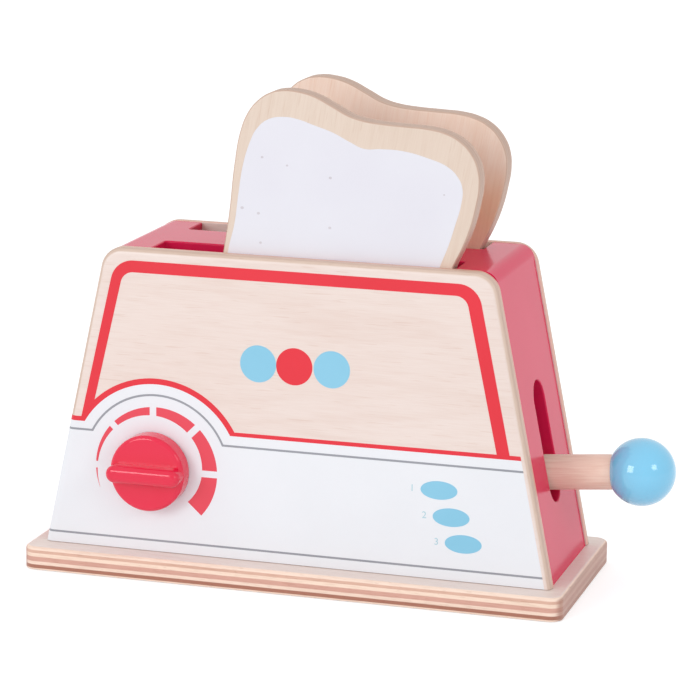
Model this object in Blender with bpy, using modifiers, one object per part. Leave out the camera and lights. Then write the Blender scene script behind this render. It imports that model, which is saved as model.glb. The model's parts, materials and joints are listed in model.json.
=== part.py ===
"""Wooden toy toaster with two bread slices, a see-saw lever and a turning dial.

Metres, +Z up. The origin is the middle of the base board's underside. The dial is on the
front, towards -Y, and the lever comes out on the right, towards +X. The model stands in
the photographed pose: the lever's ball is down and the slices are popped up.
"""
import math

import bmesh
import bpy
from mathutils import Matrix, Vector

COLLECTION_NAME = "toy_toaster"
CUTTER_COLLECTION_NAME = "toy_toaster_cutters"

# Gaps and overruns
GLUE_GAP = 0.0003
RUNNING_CLEARANCE = 0.0004
CUT_OVERRUN = 0.002

# Base board
BASE_LENGTH = 0.2096
BASE_WIDTH = 0.0856
BASE_THICKNESS = 0.009
BASE_CORNER_RADIUS = 0.005
BASE_EDGE_RADIUS = 0.0015

# Front and rear panels
PANEL_FOOT_WIDTH = 0.198
PANEL_HEAD_WIDTH = 0.1496
PANEL_HEIGHT = 0.116
PANEL_THICKNESS = 0.005
PANEL_CORNER_RADIUS = 0.009
PANEL_EDGE_RADIUS = 0.0018
BODY_DEPTH = 0.067

# Red shell between the panels
BOARD_THICKNESS = 0.009
SHELL_LEFT_INSET = 0.0020
SHELL_RIGHT_INSET = 0.0007
SHELL_TOP_INSET = 0.0002

# Openings for the slices in the top board
TOAST_SLOT_LENGTH = 0.1166
TOAST_SLOT_MIDDLE_X = 0.0005
MIDDLE_RAIL_WIDTH = 0.026
TOAST_SLOT_CORNER_RADIUS = 0.0012

# Opening for the lever in the right side board
LEVER_SLOT_WIDTH = 0.0154
LEVER_SLOT_LENGTH = 0.0465
LEVER_SLOT_MIDDLE_HEIGHT = 0.0565

# See-saw lever
PIVOT_X = 0.057
PIVOT_HEIGHT = 0.0417
PIVOT_PIN_DIAMETER = 0.008
LEVER_TILT = math.radians(5.1)
LEVER_DOWEL_DIAMETER = 0.0132
LEVER_REACH = 0.0678
BALL_DIAMETER = 0.0254
BALL_SOCKET_DEPTH = 0.0125
ROCKER_THICKNESS = 0.020
ROCKER_NOSE_LENGTH = 0.017
ROCKER_NOSE_HALF_HEIGHT = 0.0105
ROCKER_HEEL_LENGTH = 0.005
ROCKER_FILLET = 0.006
ROCKER_EDGE_RADIUS = 0.0008
ROCKER_SOCKET_WALL = 0.002
ARM_LENGTH = 0.070
ARM_RISE = math.radians(32.4)
ARM_BOSS_RADIUS = 0.009
LIFTING_BAR_DIAMETER = 0.010
LIFTING_BAR_END_CLEARANCE = 0.001
BAR_END_CHAMFER = 0.0008

# Dowels between the side boards and the top board
TOP_DOWEL_DIAMETER = 0.004
TOP_DOWEL_LENGTH = 0.012
TOP_DOWEL_UPPER_DEPTH = 0.005
TOP_DOWEL_SPACING = 0.038

# Pivot posts
POST_THICKNESS = 0.009
POST_WIDTH = 0.020

# Bread slices
TOAST_WIDTH = 0.0924
TOAST_HEIGHT = 0.100
TOAST_THICKNESS = 0.008
TOAST_EDGE_RADIUS = 0.0007
TOAST_LEAN = math.radians(9.5)
TOAST_SEAT_GAP = 0.0006
TOAST_FLANK_GAP = 0.0006

# Outline of a slice, from its foot's middle: shares of its width and of its height
TOAST_FLANK_REST_SHARES = (0.454, 0.498)
TOAST_OUTLINE_SHARES = (
    (-0.361, 0.000), (-0.401, 0.000), (-0.455, 0.012), (-0.480, 0.055), (-0.482, 0.120),
    (-0.485, 0.353), (-0.488, 0.500), (-0.500, 0.690), (-0.498, 0.810), (-0.482, 0.878),
    (-0.451, 0.931), (-0.403, 0.973), (-0.351, 0.993), (-0.289, 1.000), (-0.224, 0.996),
    (-0.140, 0.974), (-0.073, 0.955), (-0.008, 0.949), (0.070, 0.953), (0.178, 0.965),
    (0.255, 0.973), (0.326, 0.971), (0.389, 0.954), (0.445, 0.916), (0.481, 0.866), (0.498, 0.806),
    (0.500, 0.740), (0.493, 0.650), (0.476, 0.570), TOAST_FLANK_REST_SHARES, (0.439, 0.405),
    (0.425, 0.325), (0.419, 0.240), (0.419, 0.120), (0.417, 0.055), (0.391, 0.012), (0.339, 0.000),
    (0.299, 0.000),
)

# Dial
DIAL_X = -0.0553
DIAL_HEIGHT = 0.0411
DIAL_DIAMETER = 0.0292
DIAL_DISC_THICKNESS = 0.0075
DIAL_RIM_RADIUS = 0.0016
DIAL_GRIP_LENGTH = 0.029
DIAL_GRIP_WIDTH = 0.0067
DIAL_GRIP_HEIGHT = 0.0058
DIAL_GRIP_EDGE_RADIUS = 0.0024

# Countersunk screws
SCREW_SHANK_DIAMETER = 0.0035
SCREW_HEAD_DIAMETER = 0.007
SCREW_HEAD_HEIGHT = 0.0022
SCREW_TIP_LENGTH = 0.002
SCREW_TIP_DIAMETER = 0.0006
SCREW_RECESS = 0.0004
BASE_SCREW_LENGTH = 0.022
DIAL_SCREW_LENGTH = 0.0095
SIDE_SCREW_SPACING = 0.044

# Mesh fineness
CORNER_STEPS = 6
EDGE_SEGMENTS = 2
DOWEL_SEGMENTS = 32
SMALL_DOWEL_SEGMENTS = 16
BALL_SEGMENTS = 32
BALL_RINGS = 18
DIAL_SEGMENTS = 64
DIAL_RIM_SEGMENTS = 3
SCREW_STEPS = 16
TOAST_CURVE_RESOLUTION = 3
SMOOTH_ANGLE = math.radians(35)
MERGE_DISTANCE = 0.000005

# Values that follow from the sizes above
PANEL_HEAD_HEIGHT = BASE_THICKNESS + PANEL_HEIGHT
SIDE_SLOPE = (PANEL_FOOT_WIDTH - PANEL_HEAD_WIDTH) / 2 / PANEL_HEIGHT
SIDE_ANGLE = math.atan(SIDE_SLOPE)
FRONT_Y = -BODY_DEPTH / 2
INNER_HALF_DEPTH = BODY_DEPTH / 2 - PANEL_THICKNESS
BOARD_HALF_DEPTH = INNER_HALF_DEPTH - GLUE_GAP
BOARD_SPAN = BOARD_THICKNESS / math.cos(SIDE_ANGLE)
SHELL_HEAD_HEIGHT = PANEL_HEAD_HEIGHT - SHELL_TOP_INSET
SHELL_CORNER_RADIUS = min(PANEL_CORNER_RADIUS - SHELL_RIGHT_INSET, BOARD_THICKNESS - GLUE_GAP)
TOP_UNDERSIDE_HEIGHT = SHELL_HEAD_HEIGHT - BOARD_THICKNESS
BAR_X = PIVOT_X - ARM_LENGTH * math.cos(ARM_RISE)
BAR_HEIGHT = PIVOT_HEIGHT + ARM_LENGTH * math.sin(ARM_RISE)
FRONT_TOAST_Y = -INNER_HALF_DEPTH + GLUE_GAP + TOAST_THICKNESS / 2
REAR_TOAST_Y = MIDDLE_RAIL_WIDTH / 2 + GLUE_GAP + TOAST_THICKNESS / 2
POST_Y = ROCKER_THICKNESS / 2 + RUNNING_CLEARANCE + POST_THICKNESS / 2


def shell_half_width(height, side):
    """From the middle to the red shell's outer face; side is -1 for left and 1 for right."""
    inset = SHELL_LEFT_INSET if side < 0 else SHELL_RIGHT_INSET
    return PANEL_FOOT_WIDTH / 2 - inset - SIDE_SLOPE * (height - BASE_THICKNESS)


# Scene, materials and collections

def clear_scene():
    """Remove every object, so that the script starts from an empty scene."""
    for item in list(bpy.data.objects):
        bpy.data.objects.remove(item, do_unlink=True)


def new_collection(name):
    """A collection of this name, linked to the scene."""
    collection = bpy.data.collections.new(name)
    bpy.context.scene.collection.children.link(collection)
    return collection


def new_material(name, colour, roughness, metallic=0.0):
    """A plain Principled material."""
    material = bpy.data.materials.new(name)
    material.use_nodes = True
    shader = material.node_tree.nodes["Principled BSDF"]
    shader.inputs["Base Color"].default_value = (*colour, 1.0)
    shader.inputs["Roughness"].default_value = roughness
    shader.inputs["Metallic"].default_value = metallic
    return material


# Outlines

def corner_arc(before, corner, after, radius):
    """Points of the round that a corner of this radius makes between its two sides."""
    corner = Vector(corner)
    first = Vector(before) - corner
    second = Vector(after) - corner
    angle = first.angle(second)
    if radius <= 0 or angle < MERGE_DISTANCE or angle > math.pi - MERGE_DISTANCE:
        return [corner]
    reach = min(radius / math.tan(angle / 2), first.length / 2, second.length / 2)
    radius = reach * math.tan(angle / 2)
    start = corner + first.normalized() * reach
    end = corner + second.normalized() * reach
    centre = corner + (first.normalized() + second.normalized()).normalized() * (
        radius / math.sin(angle / 2))
    sweep = math.pi - angle
    arm = start - centre
    if arm.x * (end - centre).y - arm.y * (end - centre).x < 0:
        sweep = -sweep
    points = []
    for step in range(CORNER_STEPS + 1):
        turn = Matrix.Rotation(sweep * step / CORNER_STEPS, 2)
        points.append(centre + turn @ arm)
    return points


def rounded_outline(corners):
    """An outline from (x, y, radius) corners."""
    points = []
    for index, (x, y, radius) in enumerate(corners):
        before = corners[index - 1][:2]
        after = corners[(index + 1) % len(corners)][:2]
        points.extend(corner_arc(before, (x, y), after, radius))
    return points


def rounded_rectangle(width, height, radius):
    """A rectangle about the origin with four equal rounds."""
    x = width / 2
    y = height / 2
    return rounded_outline([(-x, -y, radius), (x, -y, radius), (x, y, radius), (-x, y, radius)])


# Pieces

class Workshop:
    """Makes named pieces and cutters, and keeps them in their two collections."""

    def __init__(self):
        self.parts = new_collection(COLLECTION_NAME)
        self.cutters = new_collection(CUTTER_COLLECTION_NAME)

    def place(self, name, mesh, material, matrix):
        """Link a mesh as a named piece."""
        piece = bpy.data.objects.new(name, mesh)
        piece.matrix_world = matrix
        mesh.materials.clear()
        mesh.materials.append(material)
        self.parts.objects.link(piece)
        return piece

    def place_cutter(self, name, mesh, matrix):
        """Link a mesh as a cutter, which only shapes other pieces."""
        cutter = bpy.data.objects.new(name, mesh)
        cutter.matrix_world = matrix
        cutter.hide_render = True
        cutter.display_type = "WIRE"
        self.cutters.objects.link(cutter)
        return cutter


def slab_mesh(name, points, thickness, bezier=False):
    """A flat outline in XY, extruded about Z, as a closed mesh."""
    curve = bpy.data.curves.new(name, "CURVE")
    curve.dimensions = "2D"
    curve.fill_mode = "BOTH"
    curve.extrude = thickness / 2
    if bezier:
        curve.resolution_u = TOAST_CURVE_RESOLUTION
        spline = curve.splines.new("BEZIER")
        spline.bezier_points.add(len(points) - 1)
        for knot, (x, y) in zip(spline.bezier_points, points):
            knot.co = (x, y, 0)
            knot.handle_left_type = "AUTO"
            knot.handle_right_type = "AUTO"
    else:
        spline = curve.splines.new("POLY")
        spline.points.add(len(points) - 1)
        for knot, (x, y) in zip(spline.points, points):
            knot.co = (x, y, 0, 1)
    spline.use_cyclic_u = True
    outline = bpy.data.objects.new(name, curve)
    bpy.context.scene.collection.objects.link(outline)
    bpy.context.view_layer.update()
    evaluated = outline.evaluated_get(bpy.context.evaluated_depsgraph_get())
    mesh = bpy.data.meshes.new_from_object(evaluated)
    bpy.data.objects.remove(outline, do_unlink=True)
    build = bmesh.new()
    build.from_mesh(mesh)
    bmesh.ops.remove_doubles(build, verts=build.verts, dist=MERGE_DISTANCE)
    bmesh.ops.recalc_face_normals(build, faces=build.faces)
    build.to_mesh(mesh)
    build.free()
    mesh.name = name
    return mesh


def cylinder_mesh(name, diameter, length, segments=DOWEL_SEGMENTS, chamfer=0.0):
    """A cylinder about Z with its middle at the origin, with both ends chamfered if asked."""
    mesh = bpy.data.meshes.new(name)
    build = bmesh.new()
    bmesh.ops.create_cone(build, cap_ends=True, segments=segments, radius1=diameter / 2,
                          radius2=diameter / 2, depth=length)
    if chamfer > 0:
        rims = [edge for edge in build.edges
                if abs(edge.verts[0].co.z - edge.verts[1].co.z) < MERGE_DISTANCE]
        bmesh.ops.bevel(build, geom=rims, offset=chamfer, offset_type="OFFSET",
                        segments=EDGE_SEGMENTS, profile=0.5, affect="EDGES")
    build.to_mesh(mesh)
    build.free()
    smooth(mesh)
    return mesh


def smooth(mesh):
    """Shade round faces smooth and keep the real edges sharp."""
    mesh.shade_smooth()
    mesh.set_sharp_from_angle(angle=SMOOTH_ANGLE)


def upright(x, y, height):
    """Matrix that stands an XY outline up in the XZ plane, seen from the front."""
    return Matrix.Translation((x, y, height)) @ Matrix.Rotation(math.pi / 2, 4, "X")


def along(point, direction):
    """Matrix that takes +Z to a direction and the origin to a point."""
    turn = Vector((0, 0, 1)).rotation_difference(Vector(direction))
    return Matrix.Translation(point) @ turn.to_matrix().to_4x4()


def round_edges(piece, radius, choose=None):
    """Round a slab's long edges; choose picks edges by their two ends, or all sharp ones."""
    bevel = piece.modifiers.new("rounded_edges", "BEVEL")
    bevel.width = radius
    bevel.segments = EDGE_SEGMENTS
    bevel.use_clamp_overlap = True
    if choose is None:
        bevel.limit_method = "ANGLE"
        bevel.angle_limit = SMOOTH_ANGLE
        return
    bevel.limit_method = "WEIGHT"
    mesh = piece.data
    weights = mesh.attributes.new("bevel_weight_edge", "FLOAT", "EDGE")
    for edge in mesh.edges:
        ends = [mesh.vertices[index].co for index in edge.vertices]
        if choose(*ends):
            weights.data[edge.index].value = 1.0


def cut(piece, cutter, name):
    """Take a cutter's shape out of a piece."""
    boolean = piece.modifiers.new(name, "BOOLEAN")
    boolean.operation = "DIFFERENCE"
    boolean.solver = "EXACT"
    boolean.object = cutter


def join(piece, other, name):
    """Add another shape to a piece, as one body."""
    boolean = piece.modifiers.new(name, "BOOLEAN")
    boolean.operation = "UNION"
    boolean.solver = "EXACT"
    boolean.object = other


# Countersunk screws

def screw_profile(length, grow=0.0, head_extension=0.0):
    """Half profile of a screw along -Z, head on top at the origin, from the top down."""
    head = SCREW_HEAD_DIAMETER / 2 + grow
    shank = SCREW_SHANK_DIAMETER / 2 + grow
    tip = SCREW_TIP_DIAMETER / 2 + grow
    points = [(0.0, head_extension)]
    if head_extension > 0:
        points.append((head, head_extension))
    points.append((head, 0.0))
    points.append((shank, -SCREW_HEAD_HEIGHT - grow))
    points.append((shank, -length + SCREW_TIP_LENGTH - grow))
    points.append((tip, -length - grow))
    points.append((0.0, -length - grow))
    return points


def turned_mesh(name, profile):
    """A profile at +X, listed from the top down, turned about Z by the Screw modifier."""
    mesh = bpy.data.meshes.new(name)
    mesh.from_pydata([(x, 0, z) for x, z in profile],
                     [(index, index + 1) for index in range(len(profile) - 1)], [])
    rod = bpy.data.objects.new(name, mesh)
    bpy.context.scene.collection.objects.link(rod)
    turn = rod.modifiers.new("turned", "SCREW")
    turn.axis = "Z"
    turn.steps = SCREW_STEPS
    turn.render_steps = SCREW_STEPS
    turn.use_merge_vertices = True
    turn.merge_threshold = MERGE_DISTANCE
    bpy.context.view_layer.update()
    evaluated = rod.evaluated_get(bpy.context.evaluated_depsgraph_get())
    result = bpy.data.meshes.new_from_object(evaluated)
    bpy.data.objects.remove(rod, do_unlink=True)
    build = bmesh.new()
    build.from_mesh(result)
    bmesh.ops.remove_doubles(build, verts=build.verts, dist=MERGE_DISTANCE)
    bmesh.ops.recalc_face_normals(build, faces=build.faces)
    build.to_mesh(result)
    build.free()
    result.name = name
    smooth(result)
    return result


def combined_mesh(name, source, matrices):
    """One mesh that holds a copy of the source at each matrix, as separate solids."""
    build = bmesh.new()
    for matrix in matrices:
        copy = source.copy()
        copy.transform(matrix)
        build.from_mesh(copy)
        bpy.data.meshes.remove(copy)
    mesh = bpy.data.meshes.new(name)
    build.to_mesh(mesh)
    build.free()
    smooth(mesh)
    return mesh


def base_screw_matrix(x, y):
    """A screw driven up from beneath the base board, its head just inside the wood."""
    return Matrix.Translation((x, y, SCREW_RECESS)) @ Matrix.Rotation(math.pi, 4, "X")


def base_screws(shop, places, material, cutter_name):
    """A screw at each named place, and one cutter for all their holes."""
    for name, x, y in places:
        mesh = turned_mesh(name, screw_profile(BASE_SCREW_LENGTH))
        shop.place(name, mesh, material, base_screw_matrix(x, y))
    hole = turned_mesh(cutter_name, screw_profile(
        BASE_SCREW_LENGTH, GLUE_GAP, SCREW_RECESS + CUT_OVERRUN))
    holes = combined_mesh(cutter_name, hole, [base_screw_matrix(x, y) for _, x, y in places])
    return shop.place_cutter(cutter_name, holes, Matrix.Identity(4))


def side_screw_places():
    """Where the side boards are screwed to the base, under the middle of their wood."""
    middle = BASE_THICKNESS + (BASE_SCREW_LENGTH - BASE_THICKNESS) / 2
    y = SIDE_SCREW_SPACING / 2
    return [(f"{side}_{end}_base_screw",
             across * (shell_half_width(middle, across) - BOARD_SPAN / 2), along_y * y)
            for side, across in (("left", -1), ("right", 1))
            for end, along_y in (("front", -1), ("rear", 1))]


def post_screw_places():
    """Where the two pivot posts are screwed to the base."""
    return [("front_post_screw", PIVOT_X, -POST_Y), ("rear_post_screw", PIVOT_X, POST_Y)]


def top_dowels(shop, material):
    """Four short dowels that join the side boards' heads to the top board, and their cutter."""
    rise = Vector((-math.sin(SIDE_ANGLE), 0, math.cos(SIDE_ANGLE)))
    middle_shift = TOP_DOWEL_UPPER_DEPTH - TOP_DOWEL_LENGTH / 2
    matrices = []
    for side, across in (("left", -1), ("right", 1)):
        head = shell_half_width(TOP_UNDERSIDE_HEIGHT, across) - BOARD_SPAN / 2
        for end, along_y in (("front", -1), ("rear", 1)):
            slope = Vector((across * rise.x, 0, rise.z))
            foot = Vector((across * head, along_y * TOP_DOWEL_SPACING / 2, TOP_UNDERSIDE_HEIGHT))
            matrix = along(foot + slope * middle_shift, slope)
            name = f"{side}_{end}_top_dowel"
            mesh = cylinder_mesh(name, TOP_DOWEL_DIAMETER, TOP_DOWEL_LENGTH, SMALL_DOWEL_SEGMENTS)
            shop.place(name, mesh, material, matrix)
            matrices.append(matrix)
    hole = cylinder_mesh("top_dowel_holes", TOP_DOWEL_DIAMETER + 2 * GLUE_GAP,
                         TOP_DOWEL_LENGTH + 2 * GLUE_GAP, SMALL_DOWEL_SEGMENTS)
    holes = combined_mesh("top_dowel_holes", hole, matrices)
    return shop.place_cutter("top_dowel_holes", holes, Matrix.Identity(4))


# Housing

def base_board(shop, material):
    """The board that everything stands on."""
    outline = rounded_rectangle(BASE_LENGTH, BASE_WIDTH, BASE_CORNER_RADIUS)
    mesh = slab_mesh("base_board", outline, BASE_THICKNESS)
    board = shop.place("base_board", mesh, material,
                       Matrix.Translation((0, 0, BASE_THICKNESS / 2)))
    round_edges(board, BASE_EDGE_RADIUS, lambda a, b: min(a.z, b.z) > 0)
    return board


def panel_outline():
    """Trapezium outline of the front and rear panels, y from the base board's top face."""
    foot = PANEL_FOOT_WIDTH / 2 - SIDE_SLOPE * GLUE_GAP
    head = PANEL_HEAD_WIDTH / 2
    return rounded_outline([
        (-foot, GLUE_GAP, 0), (foot, GLUE_GAP, 0),
        (head, PANEL_HEIGHT, PANEL_CORNER_RADIUS), (-head, PANEL_HEIGHT, PANEL_CORNER_RADIUS)])


def panel(shop, name, outer_side, material):
    """A panel whose outer face looks to -Y or +Y (outer_side -1 or 1)."""
    mesh = slab_mesh(name, panel_outline(), PANEL_THICKNESS)
    middle = outer_side * (BODY_DEPTH / 2 - PANEL_THICKNESS / 2)
    piece = shop.place(name, mesh, material, upright(0, middle, BASE_THICKNESS))

    def on_outer_rim(first, second):
        # The slab's +Z side faces -Y once it stands upright.
        outside = min(-first.z * outer_side, -second.z * outer_side) > 0
        above_foot = max(first.y, second.y) > GLUE_GAP + MERGE_DISTANCE
        return outside and above_foot

    round_edges(piece, PANEL_EDGE_RADIUS, on_outer_rim)
    return piece


def side_board_outline(side):
    """Slanted side board in XZ; side is -1 for the left board and 1 for the right."""
    foot = BASE_THICKNESS + GLUE_GAP
    head = TOP_UNDERSIDE_HEIGHT - GLUE_GAP
    outer_foot = shell_half_width(foot, side)
    outer_head = shell_half_width(head, side)
    corners = [(side * (outer_foot - BOARD_SPAN), foot), (side * outer_foot, foot),
               (side * outer_head, head), (side * (outer_head - BOARD_SPAN), head)]
    if side < 0:
        corners.reverse()
    return corners


def side_board(shop, name, side, material):
    """A side board of the red shell."""
    mesh = slab_mesh(name, side_board_outline(side), 2 * BOARD_HALF_DEPTH)
    return shop.place(name, mesh, material, upright(0, 0, 0))


def top_board(shop, material):
    """Top of the red shell, with rounded ends and an open notch for each slice."""
    outline = rounded_outline([
        (-shell_half_width(TOP_UNDERSIDE_HEIGHT, -1), TOP_UNDERSIDE_HEIGHT, 0),
        (shell_half_width(TOP_UNDERSIDE_HEIGHT, 1), TOP_UNDERSIDE_HEIGHT, 0),
        (shell_half_width(SHELL_HEAD_HEIGHT, 1), SHELL_HEAD_HEIGHT, SHELL_CORNER_RADIUS),
        (-shell_half_width(SHELL_HEAD_HEIGHT, -1), SHELL_HEAD_HEIGHT, SHELL_CORNER_RADIUS)])
    mesh = slab_mesh("top_board", outline, 2 * BOARD_HALF_DEPTH)
    board = shop.place("top_board", mesh, material, upright(0, 0, 0))
    notch_depth = BOARD_HALF_DEPTH - MIDDLE_RAIL_WIDTH / 2
    width = 2 * (notch_depth + CUT_OVERRUN)
    height = BOARD_THICKNESS + 2 * CUT_OVERRUN
    for name, side in (("front_notch", -1), ("rear_notch", 1)):
        notch = rounded_rectangle(TOAST_SLOT_LENGTH, width, TOAST_SLOT_CORNER_RADIUS)
        middle = Matrix.Translation((TOAST_SLOT_MIDDLE_X, side * (MIDDLE_RAIL_WIDTH + width) / 2,
                                     SHELL_HEAD_HEIGHT - BOARD_THICKNESS / 2))
        cut(board, shop.place_cutter(name, slab_mesh(name, notch, height), middle), name)
    return board


def cut_lever_slot(shop, board):
    """Round-ended slot for the lever, square to the slanted board."""
    outline = rounded_rectangle(LEVER_SLOT_LENGTH, LEVER_SLOT_WIDTH, LEVER_SLOT_WIDTH / 2)
    thickness = 2 * (BOARD_THICKNESS + CUT_OVERRUN)
    up = Vector((-math.sin(SIDE_ANGLE), 0, math.cos(SIDE_ANGLE)))
    out = Vector((math.cos(SIDE_ANGLE), 0, math.sin(SIDE_ANGLE)))
    across = out.cross(up)
    turn = Matrix((up, across, out)).transposed().to_4x4()
    middle = (shell_half_width(LEVER_SLOT_MIDDLE_HEIGHT, 1), 0, LEVER_SLOT_MIDDLE_HEIGHT)
    cutter = shop.place_cutter("lever_slot", slab_mesh("lever_slot", outline, thickness),
                               Matrix.Translation(middle) @ turn)
    cut(board, cutter, "lever_slot")


# See-saw lever

def lever_matrix():
    """The lever's frame: origin on the pivot, X along the dowel, Y up, Z to the front."""
    return (Matrix.Translation((PIVOT_X, 0, PIVOT_HEIGHT)) @ Matrix.Rotation(-LEVER_TILT, 4, "Y")
            @ Matrix.Rotation(math.pi / 2, 4, "X"))


def rocker_outline():
    """The rocker arm in the lever's frame: nose for the dowel, hub, arm and boss."""
    turn = math.pi - ARM_RISE - LEVER_TILT
    ahead = Vector((math.cos(turn), math.sin(turn)))
    aside = Vector((-ahead.y, ahead.x))
    boss = ahead * (ARM_LENGTH + ARM_BOSS_RADIUS)
    low = boss + aside * ARM_BOSS_RADIUS
    high = boss - aside * ARM_BOSS_RADIUS
    nose = ROCKER_NOSE_HALF_HEIGHT
    shoulder = high - ahead * ((high.y - nose) / ahead.y)
    corner = ROCKER_FILLET / 3
    return rounded_outline([
        (-ROCKER_HEEL_LENGTH, -nose, ROCKER_FILLET), (ROCKER_NOSE_LENGTH, -nose, corner),
        (ROCKER_NOSE_LENGTH, nose, corner), (shoulder.x, shoulder.y, ROCKER_FILLET),
        (high.x, high.y, ARM_BOSS_RADIUS), (low.x, low.y, ARM_BOSS_RADIUS)])


def bar_place():
    """The lifting bar's middle in the lever's frame."""
    turn = math.pi - ARM_RISE - LEVER_TILT
    return Vector((ARM_LENGTH * math.cos(turn), ARM_LENGTH * math.sin(turn), 0))


def rocker_arm(shop, frame, material):
    """The wooden see-saw that carries the dowel at one end and the lifting bar at the other."""
    mesh = slab_mesh("rocker_arm", rocker_outline(), ROCKER_THICKNESS)
    arm = shop.place("rocker_arm", mesh, material, frame)
    round_edges(arm, ROCKER_EDGE_RADIUS)
    through = ROCKER_THICKNESS + 2 * CUT_OVERRUN
    bore = PIVOT_PIN_DIAMETER + 2 * RUNNING_CLEARANCE
    pin_hole = cylinder_mesh("rocker_pin_hole", bore, through)
    cut(arm, shop.place_cutter("rocker_pin_hole", pin_hole, frame), "pin_hole")
    bar_hole = cylinder_mesh("rocker_bar_hole", LIFTING_BAR_DIAMETER + 2 * GLUE_GAP, through)
    cut(arm, shop.place_cutter("rocker_bar_hole", bar_hole,
                               frame @ Matrix.Translation(bar_place())), "bar_hole")
    start = socket_start()
    end = ROCKER_NOSE_LENGTH + CUT_OVERRUN
    socket = cylinder_mesh("rocker_socket", LEVER_DOWEL_DIAMETER + 2 * GLUE_GAP, end - start)
    cut(arm, shop.place_cutter("rocker_socket", socket,
                               frame @ along(((start + end) / 2, 0, 0), (1, 0, 0))), "socket")
    return arm


def socket_start():
    """Where the dowel's socket in the rocker ends, measured from the pivot."""
    return PIVOT_PIN_DIAMETER / 2 + RUNNING_CLEARANCE + ROCKER_SOCKET_WALL


def lever_dowel(shop, frame, material):
    """The round handle between the rocker and the ball."""
    start = socket_start() + GLUE_GAP
    end = LEVER_REACH - BALL_DIAMETER / 2 + BALL_SOCKET_DEPTH - GLUE_GAP
    mesh = cylinder_mesh("lever_dowel", LEVER_DOWEL_DIAMETER, end - start)
    return shop.place("lever_dowel", mesh, material,
                      frame @ along(((start + end) / 2, 0, 0), (1, 0, 0)))


def lever_ball(shop, frame, material):
    """The ball on the lever, bored for its dowel."""
    mesh = bpy.data.meshes.new("lever_ball")
    build = bmesh.new()
    bmesh.ops.create_uvsphere(build, u_segments=BALL_SEGMENTS, v_segments=BALL_RINGS,
                              radius=BALL_DIAMETER / 2)
    build.to_mesh(mesh)
    build.free()
    smooth(mesh)
    centre = frame @ Matrix.Translation((LEVER_REACH, 0, 0))
    ball = shop.place("lever_ball", mesh, material, centre @ along((0, 0, 0), (1, 0, 0)))
    depth = BALL_SOCKET_DEPTH + CUT_OVERRUN
    bore = cylinder_mesh("ball_bore", LEVER_DOWEL_DIAMETER + 2 * GLUE_GAP, depth)
    start = -BALL_DIAMETER / 2 - CUT_OVERRUN
    cutter = shop.place_cutter("ball_bore", bore,
                               centre @ along((start + depth / 2, 0, 0), (1, 0, 0)))
    cut(ball, cutter, "bore")
    return ball


def lifting_bar(shop, frame, material):
    """The cross bar in the rocker's boss, which both slices stand on."""
    length = 2 * (INNER_HALF_DEPTH - LIFTING_BAR_END_CLEARANCE)
    mesh = cylinder_mesh("lifting_bar", LIFTING_BAR_DIAMETER, length, chamfer=BAR_END_CHAMFER)
    return shop.place("lifting_bar", mesh, material, frame @ Matrix.Translation(bar_place()))


def pivot_post(shop, name, side, material):
    """A round-headed post that carries one end of the pivot pin."""
    foot = BASE_THICKNESS + GLUE_GAP
    half = POST_WIDTH / 2
    head = PIVOT_HEIGHT + half
    outline = rounded_outline([(-half, foot, 0), (half, foot, 0), (half, head, half),
                               (-half, head, half)])
    mesh = slab_mesh(name, outline, POST_THICKNESS)
    post = shop.place(name, mesh, material, upright(PIVOT_X, side * POST_Y, 0))
    hole = cylinder_mesh(name + "_pin_hole", PIVOT_PIN_DIAMETER + 2 * GLUE_GAP,
                         POST_THICKNESS + 2 * CUT_OVERRUN)
    cutter = shop.place_cutter(name + "_pin_hole", hole,
                               along((PIVOT_X, side * POST_Y, PIVOT_HEIGHT), (0, 1, 0)))
    cut(post, cutter, "pin_hole")
    return post


def pivot_pin(shop, material):
    """The pin that the rocker turns on, held by both posts."""
    length = 2 * (POST_Y + POST_THICKNESS / 2)
    mesh = cylinder_mesh("pivot_pin", PIVOT_PIN_DIAMETER, length)
    return shop.place("pivot_pin", mesh, material, along((PIVOT_X, 0, PIVOT_HEIGHT), (0, 1, 0)))


# Bread slices

def toast_foot():
    """Where a slice's foot middle stands in XZ: flank on the opening's end, edge on the bar."""
    across, up = TOAST_FLANK_REST_SHARES
    flank = across * TOAST_WIDTH * math.cos(TOAST_LEAN)
    flank += up * TOAST_HEIGHT * math.sin(TOAST_LEAN)
    x = TOAST_SLOT_MIDDLE_X + TOAST_SLOT_LENGTH / 2 - TOAST_FLANK_GAP - flank
    seat = LIFTING_BAR_DIAMETER / 2 + TOAST_SEAT_GAP
    height = BAR_HEIGHT + (seat - (x - BAR_X) * math.sin(TOAST_LEAN)) / math.cos(TOAST_LEAN)
    return x, height


def toast(shop, name, y, material):
    """A bread slice that leans on the right end of its opening."""
    points = [(x * TOAST_WIDTH, z * TOAST_HEIGHT) for x, z in TOAST_OUTLINE_SHARES]
    mesh = slab_mesh(name, points, TOAST_THICKNESS, bezier=True)
    lean = Matrix.Rotation(TOAST_LEAN, 4, "Y")
    foot_x, foot_height = toast_foot()
    frame = Matrix.Translation((foot_x, y, foot_height)) @ lean
    slice_piece = shop.place(name, mesh, material, frame @ Matrix.Rotation(math.pi / 2, 4, "X"))
    round_edges(slice_piece, TOAST_EDGE_RADIUS, lambda a, b: a.z * b.z > 0)
    return slice_piece


# Dial

def dial_frame():
    """The dial's frame: origin on the panel's front face, Z out to the front, X to the right."""
    return upright(DIAL_X, FRONT_Y, DIAL_HEIGHT)


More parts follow.
